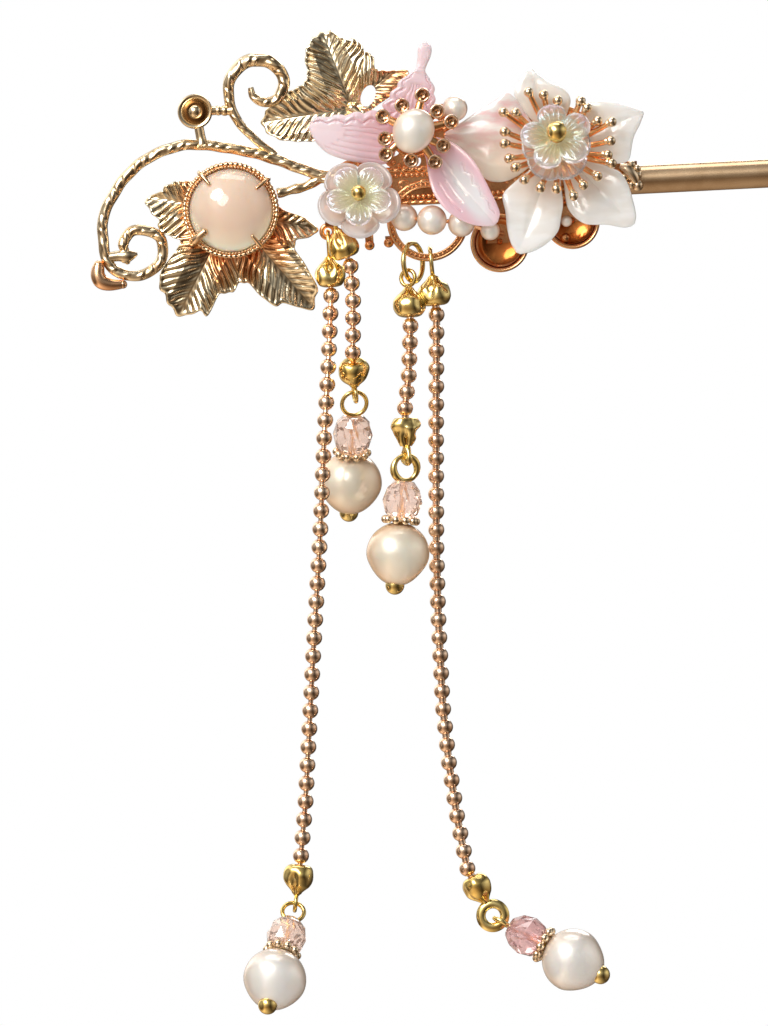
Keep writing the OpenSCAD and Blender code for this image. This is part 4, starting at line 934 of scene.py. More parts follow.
def curl_cup():
    """A small cup, and the collar inside it."""
    cup = [(CURL_R - inside, z) for inside, z in (
        (0.2, 0), (0, 0.2), (-0.02, 0.62), (0.08, 0.8), (0.2, 0.8), (0.3, 0.62), (0.34, 0.2))]
    collar = [(0.4, 0.14), (0.4, 0.5), (0.32, 0.62), (0.22, 0.6), (0.18, 0.3), (0, 0.22)]
    return revolve([(0, 0)] + cup + [(0, 0.14)], 36), revolve(collar, 24)


def make_rosette():
    arms, curls = Shape(), Shape()
    where = facing(ROSETTE_AT, ROSETTE_DEPTH)
    arms.add(revolve([(0, 0.02), (DISH_R - 0.3, 0.0), (DISH_R, 0.3), (DISH_R + 0.1, 0.75),
                      (DISH_R - 0.05, 0.8), (DISH_R - 0.3, 0.45), (0, 0.3)]), where)
    cup, collar = curl_cup()
    lip = [Vector((*polar(0.75, 0.3 * k), 0.78)) for k in range(16)]
    for place in CURLS_PX:
        x, z = from_photo(*place)
        off = Vector((x - ROSETTE_AT[0], z - ROSETTE_AT[1], 0))
        off = off * min(1, CURL_REACH / off.length)
        turn = Matrix.Rotation(atan2(off.y, off.x), 4, "Z")
        arm = curve([(DISH_R * 0.7, 0, 0.45), ((DISH_R + off.length) / 2, 0, 0.4),
                     (off.length - CURL_R * 0.5, 0, 0.3)], 5)
        arms.add(tube(arm, ARM_WIDTHS, 14, front=(0, 0, 1), flat=0.75), where @ turn)
        at = where @ shift(off)
        curls.add(cup, at)
        curls.add(collar, at)
        curls.add(tube(lip, 0.15, 8, front=(0, 0, 1)), at @ turn)
    make("rosette_arms", arms, stalk_gold, ["rosette"], 50)
    make("rosette_curls", curls, curl_gold, [], 50)


def pearl_shape(r, seed, sides=48, rings=32, squash=1.0, point=0.0):
    """A pearl that is slightly uneven, and drawn to a soft point downwards."""
    verts, faces = ball(r, sides, rings)
    out = []
    for v in map(Vector, verts):
        lump = noise.noise(v / r * 0.9 + Vector((seed * 3.1, seed, 0)))
        v = v * (1 - 0.015 + 0.015 * lump)
        low = max(0, -v.z / r)
        narrow = 1 - point * low ** 2 * (1.2 - low)
        out.append((v.x * narrow, v.y * narrow, v.z * squash))
    return out, faces


def make_rosette_pearl():
    middle, size = place_of("rosette_pearl")
    r = size.x / 2
    where = shift(middle) @ spin(32, "Y") @ Matrix.Diagonal((0.92, size.y / 2 / r, 1, 1))
    oval = Shape().add(pearl_shape(r, 2, squash=1.04), where)
    make("pearl_middle", oval, small_pearl, ["rosette_pearl"], 180)


# Glass flowers: the x and z of their middles, their depth and how far they tilt up
LEFT_BLOOM = ((-33.8, -1.3), SCROLL_DEPTH + BAR_R + 1.35, 20)
RIGHT_DEPTH = ON_PLATE + 1.1 / 2 + 0.1 + 1.1 / 2 + 1.35
RIGHT_BLOOM = ((-9.8, 4.0), RIGHT_DEPTH, 16)
RIGHT_CRYSTAL = ((-9.8, 4.0), RIGHT_DEPTH, 24)
RIGHT_DISH = ((-9.9, 3.6), RIGHT_DEPTH, 12)
# Dishes: name, material, slot and flower; height, turn, radius, notch, rise, puff, thickness, grooves, lip
DISHES = [
    ("left_frosted", frosted_pink, "frosted_pink", LEFT_BLOOM,
     0, -90, 5.1, 0.26, 1.3, 0, 0.7, 0, 0.2),
    ("left_crystal", crystal_green, "crystal_green", LEFT_BLOOM,
     1.55, -93, 4.0, 0.42, 0.9, 0.5, 1.0, 0.24, 0),
    ("right_frosted", crystal_dish, "frosted_pink", RIGHT_DISH,
     0.6, 90, 4.2, 0.12, 1.5, 0, 0.7, 0, 0.1),
    ("right_crystal", crystal_green, "crystal_green", RIGHT_CRYSTAL,
     2.1, 100, 4.4, 0.42, 0.9, 0.6, 1.1, 0.25, 0),
]
# Pins: side, flower, the ball's radius and height, and the height of the pin's foot
FLOWER_PINS = [("left", LEFT_BLOOM, 0.925, 3.75, -0.8), ("right", RIGHT_CRYSTAL, 1.25, 5.1, -1.2)]
DISH_PETALS = 5
DISH_STEPS, DISH_RINGS = 200, 16
DISH_HOLE = 0.35


def bloom(flower, height=0, turn=0):
    """A place on a flower's own tilted axis."""
    at, depth, tilt = flower
    return facing(at, depth, 0, tilt) @ shift((0, 0, height)) @ spin(turn, "Z")


def dish(r, notch, rise, puff, thick, grooves, lip):
    """A petalled dish: each petal is puffed between radial grooves, with a rounded edge."""
    loops = []
    for a in turns(DISH_STEPS):
        c = abs(cos(a * DISH_PETALS / 2))
        edge = r * (1 - notch * (1 - c ** 0.5))
        front, rear = [], []
        for i in range(DISH_RINGS + 1):
            v = sin(pi / 2 * i / DISH_RINGS)
            x, y = polar(DISH_HOLE + (edge - DISH_HOLE) * v, -a)
            half = thick / 2 * (1 - v ** 6) ** 0.5
            z = rise * v ** 1.5 + thick / 2
            lines = grooves * (0.5 + 0.5 * cos(a * DISH_PETALS * 5)) ** 3 * sin(pi * min(1, v * 1.1)) * c
            swell = puff * c ** 0.7 * sin(pi * v) + lip * bump(v - 0.93, 0.05)
            front.append((x, y, z + half + swell - lines))
            rear.append((x, y, z - half))
        loops.append(front + rear[::-1])
    return loft(loops, closed=True)


def make_blooms():
    for name, material, slot, flower, height, turn, r, *form in DISHES:
        where = bloom(flower, height, turn)
        back = where.inverted()

        def rim(v, back=back, r=r):
            local = back @ v
            return min(1, hypot(local.x, local.y) / r) ** 3

        glass = Shape().add(dish(r, *form), where)
        make("flower_" + name, glass, material, [name + "_flower"], tint=rim)
    for side, flower, r, top, foot in FLOWER_PINS:
        where = bloom(flower)
        pin = Shape().add(ball(r, 32, 20), bloom(flower, top))
        pin.add(revolve([(0, top - r - 0.25), (0.5, top - r - 0.2), (r * 0.85, top - r * 0.75),
                         (0.5, top - r * 0.7), (0, top - r * 0.6)], 24), where)
        pin.add(revolve([(0, foot), (0.25, foot), (0.25, top), (0, top)], 16), where)
        make("flower_pin_" + side, pin, bright_gold, [side + "_flower_pin"])


# Shell flower: rows as for the wings
TOP_PETAL = [
    (0, 0.15, 0.17, 0), (0.15, 0.19, 0.3, 0.01), (0.35, 0.28, 0.43, 0.02), (0.55, 0.33, 0.38, 0.02),
    (0.7, 0.36, 0.22, 0.02), (0.8, 0.3, 0.14, 0.01), (0.91, 0.16, 0.07, 0.01), (1, 0.02, 0.02, 0),
]
RIGHT_PETAL = [
    (0, 0.14, 0.17, 0), (0.15, 0.25, 0.3, 0.01), (0.35, 0.38, 0.46, 0.03), (0.5, 0.38, 0.52, 0.05),
    (0.6, 0.33, 0.5, 0.05), (0.75, 0.24, 0.27, 0.03), (0.9, 0.12, 0.13, 0.01), (1, 0.02, 0.02, 0),
]
LOWER_RIGHT_PETAL = [
    (0, 0.095, 0.13, 0), (0.15, 0.16, 0.235, 0.01), (0.35, 0.25, 0.375, 0.03), (0.5, 0.3, 0.4, 0.05),
    (0.65, 0.27, 0.36, 0.05), (0.8, 0.19, 0.21, 0.03), (0.95, 0.09, 0.1, 0.01), (1, 0.02, 0.03, 0),
]
LOWER_LEFT_PETAL = [
    (0, 0.1, 0.11, 0), (0.15, 0.165, 0.2, 0.01), (0.35, 0.26, 0.31, 0.03), (0.5, 0.29, 0.36, 0.05),
    (0.65, 0.31, 0.275, 0.05), (0.8, 0.25, 0.2, 0.03), (0.93, 0.14, 0.11, 0.01), (1, 0.03, 0.02, 0),
]
LEFT_PETAL = [
    (0, 0.16, 0.14, 0), (0.1, 0.26, 0.24, 0), (0.2, 0.35, 0.35, 0), (0.3, 0.41, 0.47, 0.01),
    (0.4, 0.43, 0.52, 0.01), (0.5, 0.42, 0.44, 0.01), (0.66, 0.31, 0.31, 0.01), (0.85, 0.14, 0.15, 0),
    (1, 0.03, 0.03, 0),
]
SHELL_L, SHELL_T = 9.6, 1.1
SHELL_AT = (-9.8, 4.2)


def petal_relief(s, u):
    """A crease along the middle and a fine line on either side."""
    middle = -0.3 * bump(u, 0.1) * sin(pi * min(1, s * 1.2)) ** 0.5 if s < 0.83 else 0
    sides = -0.1 * (bump(u - 0.3 * (1 - s), 0.06) + bump(u + 0.3 * (1 - s), 0.06)) * (s < 0.7)
    return middle + sides + 0.12 * sin(pi * s)


def petal_facets(s, u):
    facets = max(-1.4 * abs(u - 0.2), -1.8 * abs(s - 0.5) - 0.3, -1.2 * abs(u + 0.6) - 0.2)
    return max(facets, -0.6) + 0.3


def from_middle(v):
    return clamp((hypot(v.x - SHELL_AT[0], v.z - SHELL_AT[1]) - 3) / 6)


# Painted shade with a warm reflection: the pink petal turns to its peach root colour towards its lower part
def painted_shade_below(v):
    return clamp((v.z - 2) / 6)


# Petals: name, turn, share of the length, tilt, rows, relief, material and tint
PETALS = [
    ("top", 15.7, 0.82, -2, TOP_PETAL, petal_relief, shell_white, from_middle),
    ("right", -70.4, 0.94, 5, RIGHT_PETAL, petal_relief, shell_white, from_middle),
    ("lower_right", -137.9, 1.14, 10, LOWER_RIGHT_PETAL, petal_relief, shell_white, from_middle),
    ("lower_left", 156.9, 1.2, 12, LOWER_LEFT_PETAL, petal_relief, shell_white, from_middle),
    ("left", 80.7, 1.18, 0, LEFT_PETAL, petal_facets, shell_pink, painted_shade_below),
]


def make_petals():
    for name, turn, share, tilt, rows, relief, material, tint in PETALS:
        where = facing(SHELL_AT, ON_PLATE + SHELL_T / 2 + 0.1, turn) @ shift((0, 2.2, 0)) @ spin(tilt, "X")
        form = blade(rows, share * SHELL_L, SHELL_T * 0.95, relief, 0.1, steps=56, halves=20)
        make("shell_" + name, Shape().add(form, where), material, ["shell_petal_" + name], 50, tint)


# Stamens: where the photograph shows each tip
STAMEN_TIPS_PX = [
    (528, 88), (543, 91), (557, 97), (580, 98), (586.5, 105), (597, 120), (611, 122), (610, 142), (607, 158),
    (611, 167), (597, 180), (583, 189), (573, 201.5), (556, 194), (540, 193), (524, 183), (515, 171),
    (508.5, 160), (504, 145), (504, 132), (502, 109), (515, 111.5),
]
STAMEN_RISE, STAMEN_REACH = 2.3, 7.6
STAMEN_BEAD_R = 0.62


def make_stamens():
    stalks, beads = Shape(), Shape()
    cap = bloom(RIGHT_BLOOM)
    stalks.add(revolve([(0.35, 0), (2.5, 0), (2.75, 0.25), (2.6, 0.5), (0.35, 0.5)]), cap)
    inside = cap.inverted()
    for px, py in STAMEN_TIPS_PX:
        tip = inside @ in_plane(from_photo(px, py), RIGHT_DEPTH + STAMEN_RISE)
        tip = tip * min(1, STAMEN_REACH / hypot(tip.x, tip.y))
        tip.z = STAMEN_RISE + 0.3 * sin(px * 1.7)
        out = Vector((tip.x, tip.y, 0)).normalized()
        path = curve([out * 2.1 + Vector((0, 0, 0.3)), out * 3.0 + Vector((0, 0, 0.7)),
                      (out * 3.0 + tip) / 2 + Vector((0, 0, 0.15)), tip], 5)
        n = len(path) - 1
        stalks.add(tube(path, [0.43 - 0.1 * i / n for i in range(n + 1)], front=(0, 0, 1)), cap)
        beads.add(ball(STAMEN_BEAD_R, 20, 14), cap @ shift(tip))
        turn = Matrix.Rotation(atan2(out.y, out.x), 4, "Z")
        beads.add(revolve([(0.34, -0.1), (0.42, 0.1), (0.3, 0.2), (0, 0.22)], 14),
                  cap @ shift(tip - out * STAMEN_BEAD_R) @ turn @ spin(90, "Y"))
    make("stamen_stalks", stalks, stalk_gold, ["stamen_cap"])
    make("stamen_beads", beads, bead_gold)


# Strung pearls and two lone ones: x, z, depth and diameter
SMALL_PEARLS = [
    (-28.5, -3.2, 4.4, 3.3), (-25.2, -3.7, 5.75, 3.6), (-21.7, -4.25, 5.2, 3.3), (-18.3, -5.3, 5.1, 2.4),
    (-21.8, 9.5, 4.5, 3.1), (-9.1, -4.6, 3.9, 1.4),
]


def make_small_pearls():
    pearls = Shape()
    for seed, (x, z, depth, d) in enumerate(SMALL_PEARLS):
        pearls.add(pearl_shape(d / 2, seed, 36, 24), shift((x, -depth, z)))
    make("pearls_strung", pearls, small_pearl, ["string_pearls"], 180)


# Trim on the plate: ropes, rows of beads and swirls along its spine, rims on its discs, ring and cups
ROPES = [(2.55, 0.34), (-1.4, 0.3)]
ROPE_SPAN, ROPE_STEP, ROPE_TWIST = (-37.1, -1.8), 0.12, 0.95
BEAD_ROWS, BEAD_PITCH, BEADS = (-0.75, 1.85), 0.64, 54
SWIRLS, SWIRL_PITCH, SWIRL_R = 14, 2.55, 0.9
DISCS = [((-33.7, 0.2), 4), ((-26.9, 6.4), 4.6), ((-9.8, 4.2), 5.2)]
RING_AT, RING_R, RING_BAND, RING_DOTS = (-25.7, -3.7), 4.8, 0.8, 48
CUPS = [((-17.2, -6.8), 3.5), ((-8.4, -4.7), 3.25)]
CUP_DEPTH, CUP_WALL = 1.7, 0.45
# Balls soldered over the tab where the stick leaves the plate: x, z and radius
STICK_BALLS = [(-0.35, -0.75, 0.68), (-1.0, 1.75, 0.55), (-0.35, 1.3, 0.5), (-1.9, 0.35, 0.6),
               (-1.8, -0.6, 0.55), (-1.1, -0.6, 0.5), (-0.3, 0.5, 0.5), (-1.9, 1.2, 0.5)]
STICK_SPRIG = [(-2.4, 1.7), (-1.6, 1.25), (-0.9, 0.45), (-0.5, -0.4)]


def on_circle(at, r, a):
    return at[0] + r * cos(a), at[1] + r * sin(a)


def spine_trim(trim):
    start, stop = ROPE_SPAN
    n = int((stop - start) / ROPE_STEP)
    for z, r in ROPES:
        path = [in_plane((start + (stop - start) * i / n, z), PLATE_FRONT) for i in range(n + 1)]
        trim.add(tube(path, r, 16, lambda s, a: 0.84 + 0.16 * cos(2 * pi * s / ROPE_TWIST - 2 * a)))
    for z in BEAD_ROWS:
        for i in range(BEADS):
            trim.add(ball(0.3, 12, 8), shift(in_plane((-36.9 + i * BEAD_PITCH, z), PLATE_FRONT + 0.05)))
    for cell in range(SWIRLS):
        at = (-36.2 + cell * SWIRL_PITCH, 0.55)
        swirl = [in_plane(on_circle(at, SWIRL_R - 0.09 * k, 0.5 * k), PLATE_FRONT + 0.05) for k in range(10)]
        trim.add(tube(swirl, 0.17, 10))


def disc_trim(trim):
    for at, r in DISCS:
        disc = ring_facing(at, PLATE_FRONT)
        trim.add(hoop(r - 0.2, 0.24, 96, 12, lambda a, b: 0.85 + 0.15 * cos(48 * a + b)), disc)
        trim.add(hoop(r - 2.2, 0.2, 72, 10), disc)
        for a in turns(int(2 * pi * (r - 0.75) / 0.72)):
            trim.add(ball(0.28, 12, 8), shift(in_plane(on_circle(at, r - 0.75, a), PLATE_FRONT + 0.04)))


def ring_trim(trim):
    ring = ring_facing(RING_AT, PLATE_FRONT)
    trim.add(hoop(RING_R - 0.12, 0.22, 96, 12), ring)
    trim.add(hoop(RING_R - RING_BAND + 0.1, 0.14, 96, 8), ring @ shift((0, -0.18, 0)))
    for a in turns(RING_DOTS):
        place = on_circle(RING_AT, RING_R - RING_BAND / 2 - 0.06, a)
        trim.add(ball(0.17, 10, 6), shift(in_plane(place, PLATE_FRONT + 0.24)))


def make_cups(trim):
    lining = Shape()
    for at, r in CUPS:
        trim.add(hoop(r - 0.16, 0.2, 80, 12), ring_facing(at, PLATE_BACK + CUP_DEPTH))
        bowl = []
        for a in (radians(90 * k / 12) for k in range(13)):
            height = CUP_WALL + 0.04 + (CUP_DEPTH - CUP_WALL) * (1 - cos(a))
            bowl.append(((r - CUP_WALL + 0.02) * sin(a), height))
        under = [(q, z - 0.08) for q, z in reversed(bowl[1:])]
        # The lining's dark gold is painted shade inside the cup
        lining.add(revolve(bowl + under + [(0, CUP_WALL - 0.04)], 72), facing(at, PLATE_BACK))
        lining.add(ball(0.4, 16, 10), shift(in_plane((at[0], at[1] + 0.2), PLATE_BACK + 0.7)))
    return lining


def make_stick_beads():
    beads = Shape()
    for x, z, r in STICK_BALLS:
        beads.add(ball(r), shift(in_plane((x, z), PLATE_FRONT + 0.05)))
    sprig = flat_curve(STICK_SPRIG, PLATE_FRONT + 0.25, 5)
    n = len(sprig) - 1
    beads.add(tube(sprig, [0.45 + 0.3 * sin(pi * k / n) for k in range(n + 1)], 16))
    make("stick_beads", beads, bead_gold)


def make_plate_trim():
    trim = Shape()
    spine_trim(trim)
    disc_trim(trim)
    ring_trim(trim)
    lining = make_cups(trim)
    make("plate_trim", trim, stalk_gold)
    make("cup_linings", lining, cup_gold_and_shade)
    make_stick_beads()


# Strands, with the routes of their chains as in the CAD. Clear is the gap between balls and waist the radius
# of the wire between them; top, end and drop are ways with their loops' sizes and turns
BALL_R = 0.925
SHOWN_BALL_R = 1.05 * BALL_R
BELL_H = 3.6
# Thickness of a loop's wire from which on it is a washer
WASHER_WIRE = 0.6
PEARL_R = 3.85
CRYSTAL_R, CRYSTAL_H = 2.4, 4.2
SHOWN_CRYSTAL_H, CRYSTAL_SIDES = 1.14 * CRYSTAL_H, 10
WIRE_R = 0.25
PIN_BALL_R = 1.15
DAISY_R, DAISY_BALL_R, DAISY_BALLS, DAISY_T = 1.85, 0.5, 10, 0.3
STRANDS = {
    "long_left": dict(
        route=[(-37.7, -2.2, -12.1), (-38.5, -4, -20.8), (-39.4, -5.7, -29.3), (-40, -6, -36),
               (-40.6, -5.7, -42.1), (-42, -5.2, -55), (-43.8, -4.8, -72.6), (-44.8, -4.6, -80)],
        balls=32, clear=0.33, top=((0, 0.1, 1), 1.5, 90), end=((-0.16, 0, -0.97), 0.9, 0.5, 90),
        drop=((-0.26, -0.58, -0.79), 1.3, 0, 0), waist=0.34),
    "short_left": dict(
        route=[(-35.2, -4.15, -8.7), (-35.1, -4.5, -13.1), (-35.5, -4.9, -20)],
        balls=6, clear=0.23, top=((-0.32, 0, 1), 0.9, 90), end=((0, 0.5, -0.87), 0.9, 0.5, 80),
        drop=((-0.1, 0.4, -1), 1.5, -1, 10), waist=0.34),
    "short_mid": dict(
        route=[(-28.4, -4.2, -16.2), (-28.9, -4.5, -22.1), (-29.7, -4.8, -27)],
        balls=6, clear=0.13, top=((0, 0.1, 1), 0.95, -30), end=((-0.02, 0, -1), 0.9, 0.5, 70),
        drop=((-0.14, 0, -1), 1.5, 0, 20), waist=0.46),
    "long_right": dict(
        route=[(-25.2, -2.3, -15), (-26, -2.3, -29.8), (-26.6, -2.2, -42.5), (-26.8, -2.2, -51),
               (-26.8, -2.2, -61.8), (-26.4, -2.2, -68.7), (-25.7, -2.2, -75.6), (-24.6, -2.2, -83)],
        balls=32, clear=0.3, top=((-0.05, 0, 1), 1.6, 90), end=((0.43, 0, -0.9), 1.4, 0.9, 0),
        drop=((0.86, -0.2, -0.51), 1.05, 0.6, 90), waist=0.5),
}
# Bead tips: radius and height from the mouth, for the round ones, the wide ones and the flared one
ROUND_TIP = [(0.5, 0.02), (0.9, -0.04), (1.4, 0.16), (1.76, 0.7), (1.86, 1.3), (1.74, 1.95), (1.42, 2.5),
             (1.0, 2.9), (0.7, 3.2), (0.52, 3.5)]
WIDE_TIP = [(1.1 * r, h) for r, h in ROUND_TIP]
FLARED_TIP = [(0.5, 0.35), (1.0, 0.05), (1.45, 0.15), (1.72, 0.6), (1.7, 1.15), (1.5, 1.75), (1.26, 2.3),
              (1.1, 2.75), (0.95, 3.1), (0.7, 3.45)]
NECK_WIDTHS = [0.6, 0.58, 0.55, 0.52, 0.48, 0.42, 0.36, 0.3, 0.3]
# Half the section of the washer in an eyelet: radius and height
WASHER = [(0.95, 0.28), (1.25, 0.4), (1.6, 0.36), (1.88, 0.2)]


def ball_places(strand):
    """Centres of a chain's balls, a pitch apart along its route."""
    route = [Vector(p) for p in strand["route"]]
    pitch = 2 * BALL_R + strand["clear"]
    places = []
    for k in range(strand["balls"]):
        s, i = k * pitch, 0
        while i < len(route) - 2 and s > (route[i + 1] - route[i]).length:
            s -= (route[i + 1] - route[i]).length
            i += 1
        places.append(route[i] + s * (route[i + 1] - route[i]).normalized())
    return places


def clamshell(profile, crumple, seed):
    """A bead tip's two cupped halves, pressed together over a knot, with an open gap at the loop's side."""
    rows = curve([(r, 0, z) for r, z in profile], 5)
    loops = []
    for a in turns(56):
        loop = []
        for p in rows:
            share = clamp(p.z / 3.4)
            seam = 0.34 * bump(cos(a), 0.16 + 0.14 * share) * min(1, share * 1.5) ** 2
            here = Vector((p.x * cos(a), p.x * sin(a) * (1 - 0.1 * abs(sin(a)) ** 3), p.z))
            lump = 1 + crumple * noise.noise(here * 0.8 + Vector((seed * 5.3, 0, 0))) - seam
            loop.append((here.x * lump, here.y * lump, p.z))
        loop += [(*polar(0.02, a), 3.4), (*polar(0.02, a), 2.6)]
        for p in reversed(rows[:-16]):
            x, y = polar(max(0.05, p.x - 0.3), a)
            loop.append((x, y * 0.86, p.z + 0.15))
        loops.append(loop)
    return loft(loops, closed=True)


def loop_height(r, wire):
    """How far a tip's loop lies from its mouth."""
    return BELL_H + r + wire / 2 - 0.15


def lumpy_hoop(r, wire_r, sides, waves, start, depth):
    return hoop(r, 1.5 * wire_r, sides, 12, lambda a, b: 1 + depth * sin(waves * a + start))


def make_tip(name, node, mouth, way, loop_r, wire, turn, profile, seed):
    """A bead tip with its loop, or with a washer where the loop's wire is thick."""
    crumpled = profile is FLARED_TIP
    where = aimed(mouth, -way)
    turned = where @ spin(turn, "Z")
    shape = Shape().add(clamshell(profile, 0.3 if crumpled else 0.09, seed),
                        turned @ spin(90 + 25 * sin(3 * seed), "Z"))
    height = loop_height(loop_r, wire)
    neck = curve([(0, 0, 2.2), (0, 0, BELL_H - 0.2), (0, 0, height - loop_r)], 4)
    shape.add(tube(neck, NECK_WIDTHS, 14), where)
    at = turned @ shift((0, 0, height))
    if wire > WASHER_WIRE:
        back = [(r, -z) for r, z in WASHER]
        section = [(0.86, -0.1)] + back + [(2.0, 0)] + WASHER[::-1] + [(0.86, 0.1)]
        washer = Shape().add(spun(section, 56), at @ spin(-90, "X"))
        make(name + "_eyelet", washer, bright_gold, [], 50)
    elif crumpled:
        shape.add(lumpy_hoop(loop_r, wire / 2, 40, 3, 0.6, 0.22), at)
    else:
        shape.add(hoop(loop_r, wire / 2, 40), at)
    make(name, shape, bright_gold, [node])


def make_chain(name, strand, places, top_way, end_way):
    balls = Shape()
    for i, p in enumerate(places):
        way = places[min(i + 1, len(places) - 1)] - places[max(i - 1, 0)]
        balls.add(ball(SHOWN_BALL_R, 24, 16), aimed(p, way))
    make(name + "_balls", balls, chain_gold, [name + "_chain"], 180)
    reach = BALL_R + 1.6
    links = [places[0] + reach * top_way] + places + [places[-1] + reach * end_way]
    thin = strand["waist"]
    core = Shape()
    for a, b in zip(links, links[1:]):
        path = [a + (b - a) * t for t in (0.0, 0.25, 0.5, 0.75, 1.0)]
        core.add(tube(path, [1.15 * thin, thin, 0.86 * thin, thin, 1.15 * thin]))
    make(name + "_core", core, chain_gold, [name + "_wire"])


def cut_crystal():
    """A faceted bead: rings of corners, every other one turned by half a side."""
    tall = SHOWN_CRYSTAL_H
    loops = []
    for k in range(CRYSTAL_SIDES):
        a = -2 * pi * k / CRYSTAL_SIDES
        loop = [(*polar(0.35, a), -tall / 2)]
        for i, (h, share) in enumerate([(-0.5, 0.5), (-0.3, 0.86), (0, 1), (0.3, 0.86), (0.5, 0.5)]):
            loop.append((*polar(CRYSTAL_R * share, a - pi * (i % 2) / CRYSTAL_SIDES), h * tall))
        loop.append((*polar(0.35, a), tall / 2))
        loops.append(loop)
    verts, faces = loft(loops, closed=True)
    return verts, [half for a, b, c, d in faces for half in ((a, b, c), (a, c, d))]


def make_drop(name, hang, way, pin_r, turn, seed):
    """The head pin with its loop, crystal, daisy spacer and pearl, down from the middle of the loop."""
    drop = aimed(hang, way)
    low = drop @ shift((0, 0, -pin_r))
    crystal_mid = WIRE_R + GAP + CRYSTAL_H / 2
    daisy_top = crystal_mid + CRYSTAL_H / 2 + GAP / 2
    daisy_low = daisy_top + DAISY_T
    pearl_mid = daisy_low + GAP / 2 + PEARL_R
    foot = pearl_mid + PEARL_R - 0.1

    crumpled = name == "short_mid"
    ring = lumpy_hoop(pin_r, WIRE_R, 48, 2, 0.4, 0.25) if crumpled else hoop(pin_r, WIRE_R)
    pin = Shape().add(ring, drop @ spin(turn, "Z"))
    pin.add(revolve([(0, 0.05), (WIRE_R, 0), (WIRE_R, -foot), (0, -foot)], 16), low)
    pin.add(ball(PIN_BALL_R, 28, 18), low @ shift((0, 0, -foot)))
    make(name + "_headpin", pin, bright_gold, [name + "_pin"])

    crystal = Shape().add(cut_crystal(), low @ shift((0, 0, -crystal_mid)))
    glass = crystal_mauve if name == "long_right" else crystal_pink
    make(name + "_bead", crystal, glass, [name + "_crystal"], 1)

    disc = [(0.35, -daisy_low), (DAISY_R, -daisy_low), (DAISY_R + 0.1, -daisy_top - 0.15),
            (DAISY_R, -daisy_top), (0.35, -daisy_top)]
    daisy = Shape().add(revolve(disc, 32), low)
    sink = pearl_mid - sqrt((PEARL_R + DAISY_BALL_R + GAP) ** 2 - DAISY_R ** 2)
    for k in range(DAISY_BALLS):
        petal = low @ spin(360 * k / DAISY_BALLS, "Z")
        daisy.add(ball(DAISY_BALL_R, 16, 10), petal @ shift((DAISY_R, 0, -sink)))
        daisy.add(ball(0.3, 12, 8), petal @ shift((DAISY_R - 0.55, 0, -daisy_top - 0.05)))
    make(name + "_daisy", daisy, bead_gold, [name + "_spacer"])

    bead = Shape().add(pearl_shape(PEARL_R, seed, point=0.42), low @ shift((0, 0, -pearl_mid)))
    coat = cool_pearl if name.startswith("long") else pearl
    make(name + "_drop", bead, coat, [name + "_pearl"], 180)


def make_strand(name, strand, seed):
    places = ball_places(strand)
    top_way, top_r, top_turn = strand["top"]
    end_way, end_r, end_wire, end_turn = strand["end"]
    drop_way, pin_r, slack, pin_turn = strand["drop"]
    top_way, end_way, drop_way = (Vector(way).normalized() for way in (top_way, end_way, drop_way))
    make_chain(name, strand, places, top_way, end_way)
    top_profile = WIDE_TIP if name in ("short_mid", "long_right") else ROUND_TIP
    end_profile = FLARED_TIP if name == "short_mid" else ROUND_TIP
    top_mouth = places[0] + (BALL_R + 0.2) * top_way
    end_mouth = places[-1] + (BALL_R + 0.2) * end_way
    make_tip(name + "_bell_top", name + "_tip", top_mouth, top_way, top_r, 2 * WIRE_R, top_turn,
             top_profile, seed + 1)
    make_tip(name + "_bell_end", name + "_end", end_mouth, end_way, end_r, end_wire, end_turn,
             end_profile, seed + 7)
    play = end_r - end_wire / 2 - WIRE_R - GAP
    loop_at = end_mouth + loop_height(end_r, end_wire) * end_way
    hang = loop_at + slack * play * end_way + pin_r * drop_way
    make_drop(name, hang, drop_way, pin_r, pin_turn, seed)


# Studio that the metals mirror: its colour from below to above, and its brightness from left to right
SKY = [(0.0, (0.66, 0.53, 0.40)), (0.27, (0.24, 0.17, 0.11)), (0.48, (0.34, 0.30, 0.26)),
       (0.7, (0.92, 0.90, 0.86)), (1.0, (0.36, 0.34, 0.32))]
BANDS = [(0.0, 0.8), (0.08, 0.35), (0.2, 2.5), (0.34, 1.35), (0.5, 0.75), (0.65, 0.35), (0.8, 0.12),
         (0.91, 0.5), (1.0, 1.2)]
WHITE = (1, 1, 1)
LIGHT_TARGET = (-0.03, 0, -0.02)
FLOOR_HALF, FLOOR_LEVEL = 0.35, -0.135


def make_world():
    """The studio in mirrors, and a white backdrop as seen directly or through glass."""
    world = bpy.data.worlds.new("studio")
    bpy.context.scene.world = world
    world.use_nodes = True
    tree = world.node_tree
    tree.nodes.clear()
    place = add_node(tree, "TexCoord", {}).outputs["Generated"]
    split = add_node(tree, "SeparateXYZ", {"Vector": place})
    tone = add_ramp(tree, add_range(tree, split.outputs["Z"], 0, 1, (-1, 1)), SKY)
    greys = [(at, (bright, bright, bright)) for at, bright in BANDS]
    bands = add_ramp(tree, add_range(tree, split.outputs["X"], 0, 1, (-1, 1)), greys)
    studio = add_node(tree, "Background", {"Color": add_product(tree, tone, bands)})
    white = add_node(tree, "Background", {"Color": (*WHITE, 1)})
    path = add_node(tree, "LightPath", {})
    seen = {0: path.outputs["Is Transmission Ray"], 1: path.outputs["Is Camera Ray"]}
    mix = add_node(tree, "MixShader", {
        "Fac": add_node(tree, "Math", seen, operation="MAXIMUM").outputs["Value"],
        1: studio.outputs["Background"],
        2: white.outputs["Background"],
    })
    add_node(tree, "OutputWorld", {"Surface": mix.outputs["Shader"]})


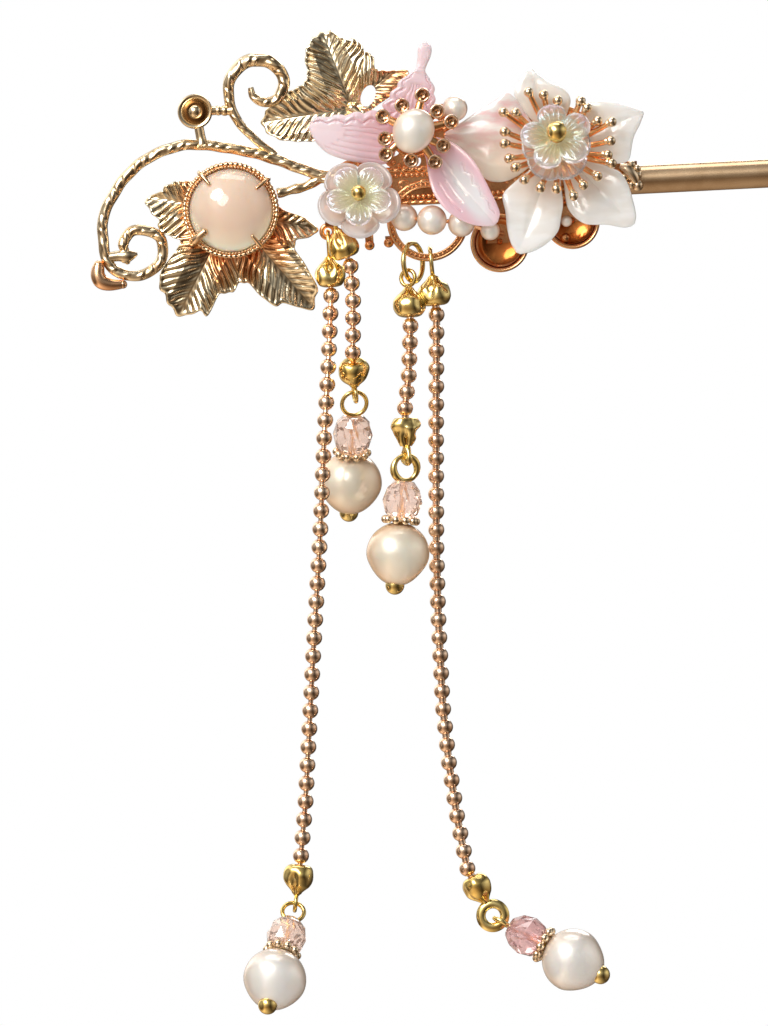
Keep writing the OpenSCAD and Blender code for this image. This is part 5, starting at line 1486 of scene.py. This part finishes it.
def add_light(name, where, width, height, power, colour=WHITE, mirrored=True, lit=True):
    """An oval lamp aimed at the ornament, with its place, size and power in metres and watts."""
    data = bpy.data.lights.new(name, "AREA")
    data.shape = "ELLIPSE"
    data.size, data.size_y = width, height
    data.energy = power
    data.color = colour
    light = link(name, data)
    light.location = where
    light.visible_glossy = mirrored
    light.visible_diffuse = lit
    light.rotation_euler = (Vector(LIGHT_TARGET) - Vector(where)).to_track_quat("-Z", "Y").to_euler()


def make_lights():
    add_light("key", (-0.38, -0.42, 0.42), 0.36, 0.36, 2.0)
    add_light("card", (-0.26, -0.57, 0.3), 0.32, 0.36, 1.3, (1, 0.97, 0.92), lit=False)
    add_light("side", (0.42, -0.45, 0.06), 0.16, 0.36, 0.6, (1, 0.98, 0.95), mirrored=False)
    add_light("top", (-0.02, 0.05, 0.55), 0.5, 0.3, 0.9)
    add_light("back", (0.1, 0.5, 0.3), 0.4, 0.3, 1.0)


def make_floor():
    mesh = bpy.data.meshes.new("floor")
    corners = [(-1, -1), (1, -1), (1, 1), (-1, 1)]
    mesh.from_pydata([(x * FLOOR_HALF, y * FLOOR_HALF, FLOOR_LEVEL) for x, y in corners], [], [(0, 1, 2, 3)])
    paper, tree, shader = new_material("floor_paper")
    fill(tree, shader, {
        "Base Color": (0.86, 0.85, 0.84, 1), "Roughness": 0.8,
        "Normal": add_relief(tree, add_noise(tree, 0.4, 3), 0.02),
    })
    mesh.materials.append(paper)
    floor = link("floor", mesh)
    floor.visible_glossy = False


make_camera()
make_world()
make_lights()
make_floor()
bpy.context.scene.view_settings.view_transform = "Standard"

make_scroll()
make_upper_leaf()
make_lower_leaf()
make_stone()
make_setting()
make_wings()
make_rosette()
make_rosette_pearl()
make_blooms()
make_petals()
make_stamens()
make_small_pearls()
make_plate_trim()
for seed, (strand_name, strand) in enumerate(STRANDS.items()):
    make_strand(strand_name, strand, seed)

# CAD nodes whose shape is right keep it and get a material
# The back plate's darker gold is partly painted shade between its trims
CAD_MATERIALS = {"stick": satin_gold, "back_plate": plate_gold_and_shade, "string_wire": rose_gold,
                 "jump_ring": bright_gold}
for node, material in CAD_MATERIALS.items():
    node_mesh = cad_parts[node].data
    node_mesh.materials.clear()
    node_mesh.materials.append(material)
